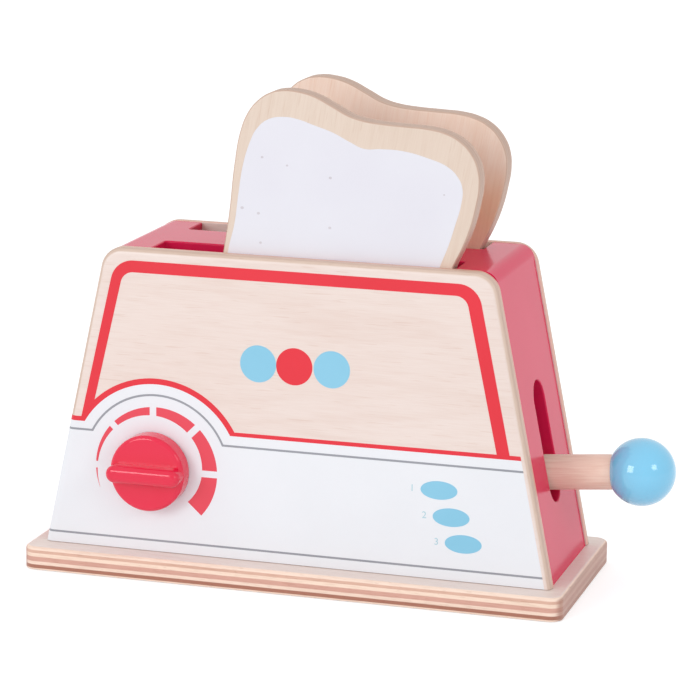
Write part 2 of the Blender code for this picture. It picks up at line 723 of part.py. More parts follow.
def dial_disc_mesh():
    """The knob's round disc, its front rim rounded, about its own middle."""
    mesh = bpy.data.meshes.new("dial_knob")
    build = bmesh.new()
    bmesh.ops.create_cone(build, cap_ends=True, segments=DIAL_SEGMENTS,
                          radius1=DIAL_DIAMETER / 2, radius2=DIAL_DIAMETER / 2,
                          depth=DIAL_DISC_THICKNESS)
    rim = [edge for edge in build.edges if min(edge.verts[0].co.z, edge.verts[1].co.z) > 0]
    bmesh.ops.bevel(build, geom=rim, offset=DIAL_RIM_RADIUS, offset_type="OFFSET",
                    segments=DIAL_RIM_SEGMENTS, profile=0.5, affect="EDGES")
    build.to_mesh(mesh)
    build.free()
    smooth(mesh)
    return mesh


def dial_knob(shop, frame, material):
    """A round knob with a straight grip across it, turned and milled from one piece."""
    disc_middle = RUNNING_CLEARANCE + DIAL_DISC_THICKNESS / 2
    knob = shop.place("dial_knob", dial_disc_mesh(), material,
                      frame @ Matrix.Translation((0, 0, disc_middle)))
    # The grip starts inside the disc, so that both become one body.
    grip_depth = DIAL_DISC_THICKNESS / 2 + DIAL_GRIP_HEIGHT
    outline = rounded_rectangle(DIAL_GRIP_LENGTH, DIAL_GRIP_WIDTH, DIAL_GRIP_WIDTH / 2)
    grip = shop.place_cutter("dial_grip", slab_mesh("dial_grip", outline, grip_depth),
                             frame @ Matrix.Translation((0, 0, disc_middle + grip_depth / 2)))
    round_edges(grip, DIAL_GRIP_EDGE_RADIUS, lambda a, b: min(a.z, b.z) > 0)
    join(knob, grip, "grip")
    bore = turned_mesh("dial_screw_bore", screw_profile(DIAL_SCREW_LENGTH, GLUE_GAP))
    cut(knob, shop.place_cutter("dial_screw_bore", bore, dial_screw_matrix(frame)), "screw_bore")
    return knob


def dial_screw_matrix(frame):
    """The screw comes from inside the panel, head flush in its back face."""
    head = -PANEL_THICKNESS + SCREW_RECESS
    return frame @ Matrix.Translation((0, 0, head)) @ Matrix.Rotation(math.pi, 4, "X")


def dial_screw(shop, frame, front_panel, material):
    """The screw that the dial turns with, and its hole in the front panel."""
    mesh = turned_mesh("dial_screw", screw_profile(DIAL_SCREW_LENGTH))
    screw = shop.place("dial_screw", mesh, material, dial_screw_matrix(frame))
    hole = turned_mesh("dial_screw_hole", screw_profile(
        DIAL_SCREW_LENGTH + CUT_OVERRUN, RUNNING_CLEARANCE, SCREW_RECESS + CUT_OVERRUN))
    cutter = shop.place_cutter("dial_screw_hole", hole, dial_screw_matrix(frame))
    cut(front_panel, cutter, "dial_screw_hole")
    return screw


def build_housing(shop, finishes):
    """Base, panels, red shell, posts and what holds them; gives back the front panel."""
    base = base_board(shop, finishes["ply"])
    front = panel(shop, "front_panel", -1, finishes["print"])
    panel(shop, "rear_panel", 1, finishes["ply"])
    left = side_board(shop, "left_side_board", -1, finishes["red"])
    right = side_board(shop, "right_side_board", 1, finishes["red"])
    top = top_board(shop, finishes["red"])
    posts = [pivot_post(shop, "front_pivot_post", -1, finishes["ply"]),
             pivot_post(shop, "rear_pivot_post", 1, finishes["ply"])]
    pivot_pin(shop, finishes["dowel"])
    dowel_holes = top_dowels(shop, finishes["dowel"])
    side_holes = base_screws(shop, side_screw_places(), finishes["steel"], "side_screw_holes")
    post_holes = base_screws(shop, post_screw_places(), finishes["steel"], "post_screw_holes")
    for piece in (left, right, top):
        cut(piece, dowel_holes, "dowel_holes")
    for piece in (base, left, right):
        cut(piece, side_holes, "side_screw_holes")
    for piece in (base, *posts):
        cut(piece, post_holes, "post_screw_holes")
    cut_lever_slot(shop, right)
    return front


def build_lever(shop, finishes):
    """Everything that swings on the pivot pin."""
    frame = lever_matrix()
    rocker_arm(shop, frame, finishes["ply"])
    lifting_bar(shop, frame, finishes["dowel"])
    lever_dowel(shop, frame, finishes["dowel"])
    lever_ball(shop, frame, finishes["blue"])


def build_dial(shop, front_panel, finishes):
    """The knob and its screw."""
    frame = dial_frame()
    dial_knob(shop, frame, finishes["gloss_red"])
    dial_screw(shop, frame, front_panel, finishes["steel"])


def main():
    """Build the toaster."""
    clear_scene()
    shop = Workshop()
    finishes = {
        "ply": new_material("birch_plywood", (0.86, 0.73, 0.60), 0.55),
        "print": new_material("printed_plywood", (0.87, 0.88, 0.92), 0.50),
        "red": new_material("red_lacquer", (0.62, 0.05, 0.09), 0.18),
        "gloss_red": new_material("red_gloss_paint", (0.80, 0.04, 0.09), 0.12),
        "blue": new_material("blue_gloss_paint", (0.20, 0.52, 0.80), 0.15),
        "dowel": new_material("beech_dowel", (0.85, 0.70, 0.53), 0.50),
        "toast": new_material("toast_plywood", (0.83, 0.66, 0.49), 0.55),
        "steel": new_material("zinc_steel", (0.70, 0.71, 0.73), 0.35, 1.0),
    }
    front_panel = build_housing(shop, finishes)
    build_lever(shop, finishes)
    build_dial(shop, front_panel, finishes)
    toast(shop, "front_toast", FRONT_TOAST_Y, finishes["toast"])
    toast(shop, "rear_toast", REAR_TOAST_Y, finishes["toast"])
    bpy.context.view_layer.update()


main()
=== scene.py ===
"""Looks for a wooden toy toaster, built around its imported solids.

Every length is in metres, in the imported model's own frame: +Z up, the dial towards -Y and the
lever towards +X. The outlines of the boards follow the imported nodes; the finer rims, the ply
edges, the prints, the grain and the gloss are made here.
"""
from __future__ import annotations

import json
import logging
import math
from collections.abc import Callable
from dataclasses import dataclass
from enum import Enum

import bmesh
import bpy
from mathutils import Matrix, Vector

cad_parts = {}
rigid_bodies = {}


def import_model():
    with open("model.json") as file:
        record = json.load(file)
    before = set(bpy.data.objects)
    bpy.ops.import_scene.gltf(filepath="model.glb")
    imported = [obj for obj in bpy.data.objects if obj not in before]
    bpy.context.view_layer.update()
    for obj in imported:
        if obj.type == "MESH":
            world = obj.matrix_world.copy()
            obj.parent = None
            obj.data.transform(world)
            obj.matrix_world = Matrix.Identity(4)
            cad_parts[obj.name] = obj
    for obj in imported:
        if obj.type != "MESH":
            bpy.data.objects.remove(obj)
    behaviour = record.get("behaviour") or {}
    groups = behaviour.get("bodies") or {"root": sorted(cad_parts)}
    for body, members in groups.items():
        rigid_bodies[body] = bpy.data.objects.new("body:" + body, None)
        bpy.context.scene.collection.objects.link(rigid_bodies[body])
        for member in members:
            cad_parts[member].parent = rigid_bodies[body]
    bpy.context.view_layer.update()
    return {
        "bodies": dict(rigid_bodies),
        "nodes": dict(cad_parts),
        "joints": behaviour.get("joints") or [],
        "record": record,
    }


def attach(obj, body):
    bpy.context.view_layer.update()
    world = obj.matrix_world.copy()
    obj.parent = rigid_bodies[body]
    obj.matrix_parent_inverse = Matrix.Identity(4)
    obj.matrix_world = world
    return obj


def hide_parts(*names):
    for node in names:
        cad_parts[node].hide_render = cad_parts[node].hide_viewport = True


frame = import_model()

LOG = logging.getLogger("toy_toaster")

Point = tuple[float, float]
Place = tuple[float, float, float]
Colour = tuple[float, float, float, float]

ARC_STEPS = 12
MERGE_DISTANCE = 0.000004
SMOOTH_ANGLE = math.radians(32)
FLAT_ANGLE = 0.0005
CUT_OVERRUN = 0.002


class Body(Enum):
    """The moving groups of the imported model."""

    TOASTER = "toaster"
    DIAL = "dial"
    LEVER = "lever"
    FRONT_SLICE = "front_slice"
    REAR_SLICE = "rear_slice"


class Slot(Enum):
    """The record's material slots."""

    BIRCH = "birch_plywood"
    PRINTED = "printed_plywood"
    LACQUER = "red_lacquer"
    RED_PAINT = "red_gloss_paint"
    BLUE_PAINT = "blue_gloss_paint"
    DOWEL = "beech_dowel"
    TOAST = "toast_plywood"
    STEEL = "zinc_steel"


def srgb(red: int, green: int, blue: int) -> Colour:
    """Turn a colour as seen on a screen into Blender's linear values.

    Args:
        red: Red from 0 to 255.
        green: Green from 0 to 255.
        blue: Blue from 0 to 255.

    Returns:
        The linear colour with full alpha.
    """
    def channel(value: int) -> float:
        """One channel, made linear."""
        share = value / 255
        return share / 12.92 if share <= 0.04045 else ((share + 0.055) / 1.055) ** 2.4

    return (channel(red), channel(green), channel(blue), 1.0)


# Shader building

class Shader:
    """Adds and joins nodes in one material or node group."""

    def __init__(self, tree: bpy.types.NodeTree) -> None:
        """Keep the tree that the nodes go into."""
        self.tree = tree

    def add(self, kind: str, **settings: object) -> bpy.types.Node:
        """Add a node.

        Args:
            kind: The node's type name.
            **settings: Properties to set on it.

        Returns:
            The new node.
        """
        node = self.tree.nodes.new(kind)
        for name, value in settings.items():
            setattr(node, name, value)
        return node

    def feed(self, target: bpy.types.NodeSocket, value: object) -> None:
        """Link a socket to another one, or give it a plain value."""
        if isinstance(value, bpy.types.NodeSocket):
            self.tree.links.new(value, target)
        else:
            target.default_value = value

    def math(self, operation: str, *values: object, clamp: bool = False) -> bpy.types.NodeSocket:
        """Work out one number from up to three others.

        Args:
            operation: The Math node's operation.
            *values: Sockets or numbers, in the node's order.
            clamp: Whether the result is held between 0 and 1.

        Returns:
            The result's socket.
        """
        node = self.add("ShaderNodeMath", operation=operation, use_clamp=clamp)
        for target, value in zip(node.inputs, values):
            self.feed(target, value)
        return node.outputs[0]

    def remap(self, value: object, low: float, high: float, to_low: float = 0.0,
              to_high: float = 1.0, smooth: bool = True) -> bpy.types.NodeSocket:
        """Map a value from one range to another, held at both ends.

        Args:
            value: The socket to map.
            low: Where the range starts.
            high: Where the range ends.
            to_low: The result at the start.
            to_high: The result at the end.
            smooth: Whether the step between them is eased.

        Returns:
            The result's socket.
        """
        node = self.add("ShaderNodeMapRange",
                        interpolation_type="SMOOTHSTEP" if smooth else "LINEAR")
        for name, entry in (("Value", value), ("From Min", low), ("From Max", high),
                            ("To Min", to_low), ("To Max", to_high)):
            self.feed(node.inputs[name], entry)
        return node.outputs["Result"]

    def mix(self, factor: object, first: object, second: object,
            blend: str = "MIX") -> bpy.types.NodeSocket:
        """Mix two colours.

        Args:
            factor: Share of the second colour.
            first: Colour at 0.
            second: Colour at 1.
            blend: How they are blended.

        Returns:
            The mixed colour's socket.
        """
        node = self.add("ShaderNodeMix", data_type="RGBA", blend_type=blend)
        for index, value in ((0, factor), (6, first), (7, second)):
            self.feed(node.inputs[index], value)
        return node.outputs[2]

    def ramp(self, value: object, stops: list[tuple[float, Colour]]) -> bpy.types.NodeSocket:
        """Give a colour for a value between 0 and 1.

        Args:
            value: The socket that picks the colour.
            stops: Places along the ramp and their colours, in order.

        Returns:
            The colour's socket.
        """
        node = self.add("ShaderNodeValToRGB")
        marks = node.color_ramp.elements
        marks.remove(marks[1])
        for index, (place, colour) in enumerate(stops):
            mark = marks.new(place) if index else marks[0]
            mark.position, mark.color = place, colour
        self.feed(node.inputs["Fac"], value)
        return node.outputs["Color"]

    def noise(self, vector: object, scale: object, detail: float = 3.0,
              distortion: float = 0.0) -> bpy.types.NodeSocket:
        """A noise value between 0 and 1.

        Args:
            vector: Where it is read.
            scale: How fine it is.
            detail: How many finer layers it has.
            distortion: How much it swirls.

        Returns:
            The value's socket.
        """
        node = self.add("ShaderNodeTexNoise")
        self.feed(node.inputs["Vector"], vector)
        self.feed(node.inputs["Scale"], scale)
        node.inputs["Detail"].default_value = detail
        node.inputs["Distortion"].default_value = distortion
        return node.outputs["Fac"]

    def scaled(self, vector: object, scale: Place) -> bpy.types.NodeSocket:
        """A vector with each part multiplied by its own number."""
        node = self.add("ShaderNodeVectorMath", operation="MULTIPLY")
        self.feed(node.inputs[0], vector)
        node.inputs[1].default_value = scale
        return node.outputs[0]

    def split(self, vector: object) -> dict[str, bpy.types.NodeSocket]:
        """A vector's three parts by name."""
        node = self.add("ShaderNodeSeparateXYZ")
        self.feed(node.inputs[0], vector)
        return {name: node.outputs[name] for name in "XYZ"}


def new_group(name: str, inputs: dict[str, object],
              outputs: dict[str, str]) -> tuple[Shader, dict, bpy.types.Node]:
    """Start a shared shader group.

    Args:
        name: The group's name.
        inputs: Each input's name and default: a number, a colour or None for a vector.
        outputs: Each output's name and socket type.

    Returns:
        The group's shader, its input sockets by name and its output node.
    """
    tree = bpy.data.node_groups.new(name, "ShaderNodeTree")
    for label, default in inputs.items():
        kind = "NodeSocketVector" if default is None else (
            "NodeSocketColor" if isinstance(default, tuple) else "NodeSocketFloat")
        socket = tree.interface.new_socket(label, in_out="INPUT", socket_type=kind)
        if default is not None:
            socket.default_value = default
    for label, kind in outputs.items():
        tree.interface.new_socket(label, in_out="OUTPUT", socket_type=kind)
    shader = Shader(tree)
    source = shader.add("NodeGroupInput")
    return shader, {label: source.outputs[label] for label in inputs}, shader.add("NodeGroupOutput")


def wood_grain_group() -> bpy.types.NodeTree:
    """Rotary-cut birch: long fibres along X, soft growth bands and short dark pores.

    Returns:
        A group that gives colour and height for a position in metres.
    """
    shader, given, result = new_group(
        "wood_grain",
        {"Vector": None, "Light": (0.8, 0.7, 0.6, 1.0), "Dark": (0.7, 0.55, 0.4, 1.0),
         "Figure": 0.5, "Fibres": 0.5},
        {"Color": "NodeSocketColor", "Height": "NodeSocketFloat"})
    spread = shader.scaled(given["Vector"], (0.10, 1.0, 1.0))
    fibres = shader.noise(shader.scaled(given["Vector"], (0.035, 1.0, 1.0)), 2600.0, 4.0)
    strands = shader.noise(spread, 620.0, 3.0, 0.4)
    bands = shader.noise(shader.scaled(given["Vector"], (0.14, 1.0, 1.0)), 46.0, 2.0, 1.0)
    rings = shader.math("PINGPONG", shader.math("MULTIPLY", bands, 7.0), 1.0)
    ring_line = shader.remap(rings, 0.55, 1.0)
    cloud = shader.noise(given["Vector"], 14.0, 1.0)
    pores = shader.remap(shader.noise(shader.scaled(given["Vector"], (0.06, 1.0, 1.0)),
                                      1500.0, 1.0), 0.66, 0.74)
    figure = shader.math("MULTIPLY", given["Figure"], shader.math(
        "ADD", shader.math("MULTIPLY", ring_line, 0.45),
        shader.remap(cloud, 0.35, 0.70, 0.0, 0.55)))
    fine = shader.math("MULTIPLY", given["Fibres"], shader.math(
        "ADD", shader.remap(fibres, 0.35, 0.75, 0.0, 0.5),
        shader.remap(strands, 0.40, 0.75, 0.0, 0.5)))
    share = shader.math("ADD", figure, fine, clamp=True)
    share = shader.math("ADD", share, shader.math("MULTIPLY", pores, 0.35), clamp=True)
    shader.feed(result.inputs["Color"], shader.mix(share, given["Light"], given["Dark"]))
    shader.feed(result.inputs["Height"], shader.math(
        "SUBTRACT", fibres, shader.math("MULTIPLY", pores, 0.6)))
    return shader.tree


def ply_layers_group() -> bpy.types.NodeTree:
    """The plies of a plywood edge: how deep a point lies, and the streaks along the edge.

    Returns:
        A group that gives a share of the depth, streaks and a height for a depth in metres
        and a position that is stretched along the edge.
    """
    shader, given, result = new_group(
        "ply_layers", {"Vector": None, "Depth": 0.0, "Thickness": 0.009, "Wander": 0.0002},
        {"Share": "NodeSocketFloat", "Streak": "NodeSocketFloat", "Height": "NodeSocketFloat"})
    wave = shader.noise(given["Vector"], 420.0, 2.0)
    wander = shader.math("MULTIPLY", shader.math("SUBTRACT", wave, 0.5), given["Wander"])
    share = shader.math("DIVIDE", shader.math("ADD", given["Depth"], wander), given["Thickness"])
    fine = shader.noise(given["Vector"], 2400.0, 3.0)
    broad = shader.noise(given["Vector"], 260.0, 2.0, 0.5)
    pores = shader.remap(shader.noise(given["Vector"], 3300.0, 1.0), 0.66, 0.76)
    streak = shader.math("ADD", shader.remap(fine, 0.42, 0.78, 0.0, 0.6),
                         shader.remap(broad, 0.45, 0.75, 0.0, 0.4), clamp=True)
    shader.feed(result.inputs["Share"], share)
    shader.feed(result.inputs["Streak"], shader.math("MAXIMUM", streak, pores))
    shader.feed(result.inputs["Height"], shader.math(
        "SUBTRACT", shader.math("MULTIPLY", fine, 0.5), shader.math("MULTIPLY", pores, 0.4)))
    return shader.tree


def surface_mottle_group() -> bpy.types.NodeTree:
    """Small unevenness of a painted or printed face.

    Returns:
        A group that gives a roughness, a height and a shade for a position.
    """
    shader, given, result = new_group(
        "surface_mottle",
        {"Vector": None, "Grain": 400.0, "Roughness": 0.3, "Spread": 0.1},
        {"Roughness": "NodeSocketFloat", "Height": "NodeSocketFloat", "Shade": "NodeSocketFloat"})
    fine = shader.noise(given["Vector"], given["Grain"], 3.0)
    broad = shader.noise(given["Vector"], 22.0, 2.0)
    smear = shader.noise(given["Vector"], 90.0, 2.0, 0.8)
    sway = shader.math("MULTIPLY", shader.math("SUBTRACT", smear, 0.5), given["Spread"])
    shader.feed(result.inputs["Roughness"], shader.math("ADD", given["Roughness"], sway))
    shader.feed(result.inputs["Height"], fine)
    shader.feed(result.inputs["Shade"], shader.remap(broad, 0.3, 0.7))
    return shader.tree


class Groups:
    """The shared shader groups, each built once."""

    def __init__(self) -> None:
        """Build all three."""
        self.grain = wood_grain_group()
        self.layers = ply_layers_group()
        self.mottle = surface_mottle_group()


@dataclass(frozen=True)
class Finish:
    """What every finish shares: a name and its gloss."""

    name: str
    roughness: float = 0.5
    coat: float = 0.0
    coat_roughness: float = 0.1
    bump: float = 0.1
    specular: float = 0.5

    def start(self) -> tuple[bpy.types.Material, Shader, bpy.types.Node, bpy.types.NodeSocket]:
        """Make the material with its plain gloss set on the Principled shader.

        Returns:
            The material, its shader, the Principled node and the Object coordinates.
        """
        material = bpy.data.materials.new(self.name)
        material.use_nodes = True
        shader = Shader(material.node_tree)
        surface = material.node_tree.nodes["Principled BSDF"]
        surface.inputs["Roughness"].default_value = self.roughness
        surface.inputs["Coat Weight"].default_value = self.coat
        surface.inputs["Coat Roughness"].default_value = self.coat_roughness
        surface.inputs["Specular IOR Level"].default_value = self.specular
        place = shader.add("ShaderNodeTexCoord").outputs["Object"]
        return material, shader, surface, place

    def relief(self, shader: Shader, surface: bpy.types.Node, height: bpy.types.NodeSocket,
               distance: float = 0.00005) -> None:
        """Feed a height to the surface's normal."""
        bump = shader.add("ShaderNodeBump")
        bump.inputs["Strength"].default_value = self.bump
        bump.inputs["Distance"].default_value = distance
        shader.feed(bump.inputs["Height"], height)
        shader.feed(surface.inputs["Normal"], bump.outputs["Normal"])


@dataclass(frozen=True)
class WoodFinish(Finish):
    """Solid wood, or plywood whose plies show at its edges."""

    light: Colour = (0.8, 0.7, 0.6, 1.0)
    dark: Colour = (0.7, 0.55, 0.4, 1.0)
    figure: float = 0.5
    fibres: float = 0.5
    turn: Place = (0.0, 0.0, 0.0)
    shift: Place = (0.0, 0.0, 0.0)
    # Each ply's thickness in mm and colour, from ply_start on along ply_axis.
    plies: tuple[tuple[float, Colour], ...] = ()
    ply_axis: str = "Z"
    ply_start: float = 0.0
    ply_down: bool = True
    ply_soft: float = 0.010
    streaks: float = 0.30
    # How much browner the edges at the two ends are.
    end_brown: float = 0.0
    # Painted shade: a broad darker, warmer cloud that stands for a cast shadow and red bounce light:
    # its middle, its reach and its colour.
    cloud: tuple[Place, float, Colour] | None = None

    def material(self, groups: Groups) -> bpy.types.Material:
        """Build the finish.

        Args:
            groups: The shared shader groups.

        Returns:
            The material.
        """
        material, shader, surface, place = self.start()
        mapping = shader.add("ShaderNodeMapping")
        mapping.inputs["Rotation"].default_value = self.turn
        mapping.inputs["Location"].default_value = self.shift
        shader.feed(mapping.inputs["Vector"], place)
        grain = shader.add("ShaderNodeGroup", node_tree=groups.grain)
        for name, value in (("Vector", mapping.outputs[0]), ("Light", self.light),
                            ("Dark", self.dark), ("Figure", self.figure),
                            ("Fibres", self.fibres)):
            shader.feed(grain.inputs[name], value)
        colour, height = grain.outputs["Color"], grain.outputs["Height"]
        if self.cloud is not None:
            colour = self.paint_shade_cloud(shader, place, colour)
        if self.plies:
            colour, height = self.layered(shader, groups, place, colour, height)
        shader.feed(surface.inputs["Base Color"], colour)
        self.relief(shader, surface, height)
        return material

    def paint_shade_cloud(self, shader: Shader, place: bpy.types.NodeSocket,
                colour: bpy.types.NodeSocket) -> bpy.types.NodeSocket:
        """Lay the painted shade, a broad darker and warmer cloud, over the face's colour."""
        middle, reach, tint = self.cloud
        away = shader.add("ShaderNodeVectorMath", operation="DISTANCE")
        shader.feed(away.inputs[0], place)
        away.inputs[1].default_value = middle
        ragged = shader.math("MULTIPLY", shader.noise(place, 40.0, 2.0), reach)
        share = shader.remap(shader.math("ADD", away.outputs["Value"], ragged),
                             0.5 * reach, 1.6 * reach, 1.0, 0.0)
        return shader.mix(share, colour, tint, "MULTIPLY")

    def stops(self) -> list[tuple[float, Colour]]:
        """The plies as places along a ramp from 0 to 1."""
        total = sum(thickness for thickness, _ in self.plies)
        stops: list[tuple[float, Colour]] = []
        start = 0.0
        for thickness, colour in self.plies:
            end = start + thickness / total
            stops += [(start + self.ply_soft, colour), (end - self.ply_soft, colour)]
            start = end
        return stops

    def layered(self, shader: Shader, groups: Groups, place: bpy.types.NodeSocket,
                colour: bpy.types.NodeSocket, height: bpy.types.NodeSocket,
                ) -> tuple[bpy.types.NodeSocket, bpy.types.NodeSocket]:
        """Show the plies wherever the surface turns away from the board's faces.

        Args:
            shader: The material's shader.
            groups: The shared shader groups.
            place: Object coordinates.
            colour: The face's colour.
            height: The face's height.

        Returns:
            Colour and height for faces and edges together.
        """
        along = shader.split(place)[self.ply_axis]
        depth = (shader.math("SUBTRACT", self.ply_start, along) if self.ply_down
                 else shader.math("SUBTRACT", along, self.ply_start))
        stretch = tuple(1.0 if name == self.ply_axis else 0.08 for name in "XYZ")
        layers = shader.add("ShaderNodeGroup", node_tree=groups.layers)
        for name, value in (("Vector", shader.scaled(place, stretch)), ("Depth", depth),
                            ("Thickness", sum(part for part, _ in self.plies) / 1000)):
            shader.feed(layers.inputs[name], value)
        edge = shader.ramp(layers.outputs["Share"], self.stops())
        normal = shader.split(shader.add("ShaderNodeTexCoord").outputs["Normal"])
        if self.end_brown > 0:
            ends = shader.remap(shader.math("ABSOLUTE", normal["X"]), 0.5, 0.9, 0.0,
                                self.end_brown)
            edge = shader.mix(ends, edge, END_BROWN)
        edge = shader.mix(shader.math("MULTIPLY", layers.outputs["Streak"], self.streaks), edge,
                          STREAK_TINT, "MULTIPLY")
        facing = shader.remap(shader.math("ABSOLUTE", normal[self.ply_axis]), 0.86, 0.985)
        mixed = shader.mix(facing, edge, colour)
        level = shader.add("ShaderNodeMix", data_type="FLOAT")
        for index, value in ((0, facing), (2, layers.outputs["Height"]), (3, height)):
            shader.feed(level.inputs[index], value)
        return mixed, level.outputs[0]


@dataclass(frozen=True)
class PaintFinish(Finish):
    """Lacquer, gloss paint or print, slightly uneven like the real coat."""

    colour: Colour = (0.5, 0.5, 0.5, 1.0)
    shade: Colour = (0.45, 0.45, 0.45, 1.0)
    grain: float = 400.0
    spread: float = 0.08

    def material(self, groups: Groups) -> bpy.types.Material:
        """Build the finish.

        Args:
            groups: The shared shader groups.

        Returns:
            The material.
        """
        material, shader, surface, place = self.start()
        mottle = shader.add("ShaderNodeGroup", node_tree=groups.mottle)
        for name, value in (("Vector", place), ("Grain", self.grain),
                            ("Roughness", self.roughness), ("Spread", self.spread)):
            shader.feed(mottle.inputs[name], value)
        shader.feed(surface.inputs["Base Color"],
                    shader.mix(mottle.outputs["Shade"], self.colour, self.shade))
        shader.feed(surface.inputs["Roughness"], mottle.outputs["Roughness"])
        self.relief(shader, surface, mottle.outputs["Height"])
        return material


@dataclass(frozen=True)
class SteelFinish(Finish):
    """Zinc-plated screw steel with fine turning marks."""

    colour: Colour = (0.62, 0.63, 0.66, 1.0)

    def material(self, groups: Groups) -> bpy.types.Material:
        """Build the finish.

        Args:
            groups: The shared shader groups.

        Returns:
            The material.
        """
        material, shader, surface, place = self.start()
        surface.inputs["Metallic"].default_value = 1.0
        mottle = shader.add("ShaderNodeGroup", node_tree=groups.mottle)
        for name, value in (("Vector", place), ("Grain", 2200.0),
                            ("Roughness", self.roughness), ("Spread", 0.2)):
            shader.feed(mottle.inputs[name], value)
        tint = tuple(share * 0.86 for share in self.colour[:3]) + (1.0,)
        shader.feed(surface.inputs["Base Color"],
                    shader.mix(mottle.outputs["Shade"], self.colour, tint))
        shader.feed(surface.inputs["Roughness"], mottle.outputs["Roughness"])
        self.relief(shader, surface, mottle.outputs["Height"])
        return material


# Meshes

def corner_arc(before: Point, corner: Point, after: Point, radius: float) -> list[Point]:
    """Points of one rounded corner.

    Args:
        before: The corner before it.
        corner: The corner itself.
        after: The corner after it.
        radius: Its radius, held to half of its shorter side.

    Returns:
        The points from the first side to the second.
    """
    middle = Vector(corner)
    first, second = Vector(before) - middle, Vector(after) - middle
    angle = first.angle(second)
    if radius <= 0:
        return [corner]
    reach = min(radius / math.tan(angle / 2), first.length / 2, second.length / 2)
    radius = reach * math.tan(angle / 2)
    start = middle + first.normalized() * reach
    centre = middle + (first.normalized() + second.normalized()).normalized() * (
        radius / math.sin(angle / 2))
    arm = start - centre
    end_arm = middle + second.normalized() * reach - centre
    sweep = math.pi - angle
    if arm.x * end_arm.y - arm.y * end_arm.x < 0:
        sweep = -sweep
    points = []
    for step in range(ARC_STEPS + 1):
        point = centre + Matrix.Rotation(sweep * step / ARC_STEPS, 2) @ arm
        points.append((point.x, point.y))
    return points


def rounded(corners: list[tuple[float, float, float]]) -> list[Point]:
    """An outline from corners given as x, y and radius."""
    points: list[Point] = []
    for index, (x, y, radius) in enumerate(corners):
        points.extend(corner_arc(corners[index - 1][:2], (x, y),
                                 corners[(index + 1) % len(corners)][:2], radius))
    return points


def rectangle(width: float, height: float, radius: float) -> list[Point]:
    """A rounded rectangle about the origin."""
    x, y = width / 2, height / 2
    return rounded([(-x, -y, radius), (x, -y, radius), (x, y, radius), (-x, y, radius)])


def slab(name: str, loops: list[list[Point]], thickness: float,
         matrix: Matrix | None = None, bezier: int = 0) -> bpy.types.Object:
    """A flat outline, with holes if more loops are given, as a closed slab.

    Args:
        name: The object's name.
        loops: The outer outline and then its holes, in XY.
        thickness: Its depth along Z, halved about the plane.
        matrix: Where the slab goes, put into its mesh.
        bezier: Steps between knots of a smooth curve, or 0 for straight sides.

    Returns:
        The linked object, at the origin.
    """
    curve = bpy.data.curves.new(name, "CURVE")
    curve.dimensions, curve.fill_mode = "2D", "BOTH"
    curve.extrude = thickness / 2
    for points in loops:
        spline = curve.splines.new("BEZIER" if bezier else "POLY")
        if bezier:
            curve.resolution_u = bezier
            spline.bezier_points.add(len(points) - 1)
            for knot, (x, y) in zip(spline.bezier_points, points):
                knot.co = (x, y, 0)
                knot.handle_left_type = knot.handle_right_type = "AUTO"
        else:
            spline.points.add(len(points) - 1)
            for knot, (x, y) in zip(spline.points, points):
                knot.co = (x, y, 0, 1)
        spline.use_cyclic_u = True
    drawing = bpy.data.objects.new(name, curve)
    bpy.context.scene.collection.objects.link(drawing)
    return from_evaluated(drawing, name, matrix)


def from_evaluated(drawing: bpy.types.Object, name: str,
                   matrix: Matrix | None = None) -> bpy.types.Object:
    """Turn an object with live modifiers, or a curve, into a plain mesh object.

    Args:
        drawing: The object to take up; it is removed.
        name: The new object's name.
        matrix: A place put into the mesh.

    Returns:
        The new linked object, at the origin.
    """
    bpy.context.view_layer.update()
    mesh = bpy.data.meshes.new_from_object(
        drawing.evaluated_get(bpy.context.evaluated_depsgraph_get()))
    was_mesh = drawing.type == "MESH"
    bpy.data.objects.remove(drawing, do_unlink=True)
    if not was_mesh:
        build = bmesh.new()
        build.from_mesh(mesh)
        bmesh.ops.remove_doubles(build, verts=build.verts, dist=MERGE_DISTANCE)
        flat = [edge for edge in build.edges if len(edge.link_faces) == 2
                and edge.calc_face_angle() < FLAT_ANGLE
                and min(abs(face.normal.z) for face in edge.link_faces) > 0.99]
        bmesh.ops.dissolve_edges(build, edges=flat, use_verts=False)
        bmesh.ops.recalc_face_normals(build, faces=build.faces)
        build.to_mesh(mesh)
        build.free()
    if matrix is not None:
        mesh.transform(matrix)
    return from_mesh(name, mesh)


def from_mesh(name: str, mesh: bpy.types.Mesh) -> bpy.types.Object:
    """A linked object that holds this mesh."""
    mesh.name = name
    piece = bpy.data.objects.new(name, mesh)
    bpy.context.scene.collection.objects.link(piece)
    return piece


def cylinder(name: str, diameter: float, length: float, matrix: Matrix,
             segments: int = 64, end_radius: float = 0.0) -> bpy.types.Object:
    """A round bar about its own Z, its ends rounded over if asked.

    Args:
        name: The object's name.
        diameter: Its diameter.
        length: Its length.
        matrix: Where its middle goes.
        segments: Sides round it.
        end_radius: Round on both rims.

    Returns:
        The linked object, at the origin.
    """
    build = bmesh.new()
    bmesh.ops.create_cone(build, cap_ends=True, segments=segments, radius1=diameter / 2,
                          radius2=diameter / 2, depth=length)
    if end_radius > 0:
        rims = [edge for edge in build.edges
                if abs(edge.verts[0].co.z - edge.verts[1].co.z) < MERGE_DISTANCE]
        bmesh.ops.bevel(build, geom=rims, offset=end_radius, segments=4, profile=0.5,
                        affect="EDGES")
    mesh = bpy.data.meshes.new(name)
    build.to_mesh(mesh)
    build.free()
    mesh.transform(matrix)
    return from_mesh(name, mesh)


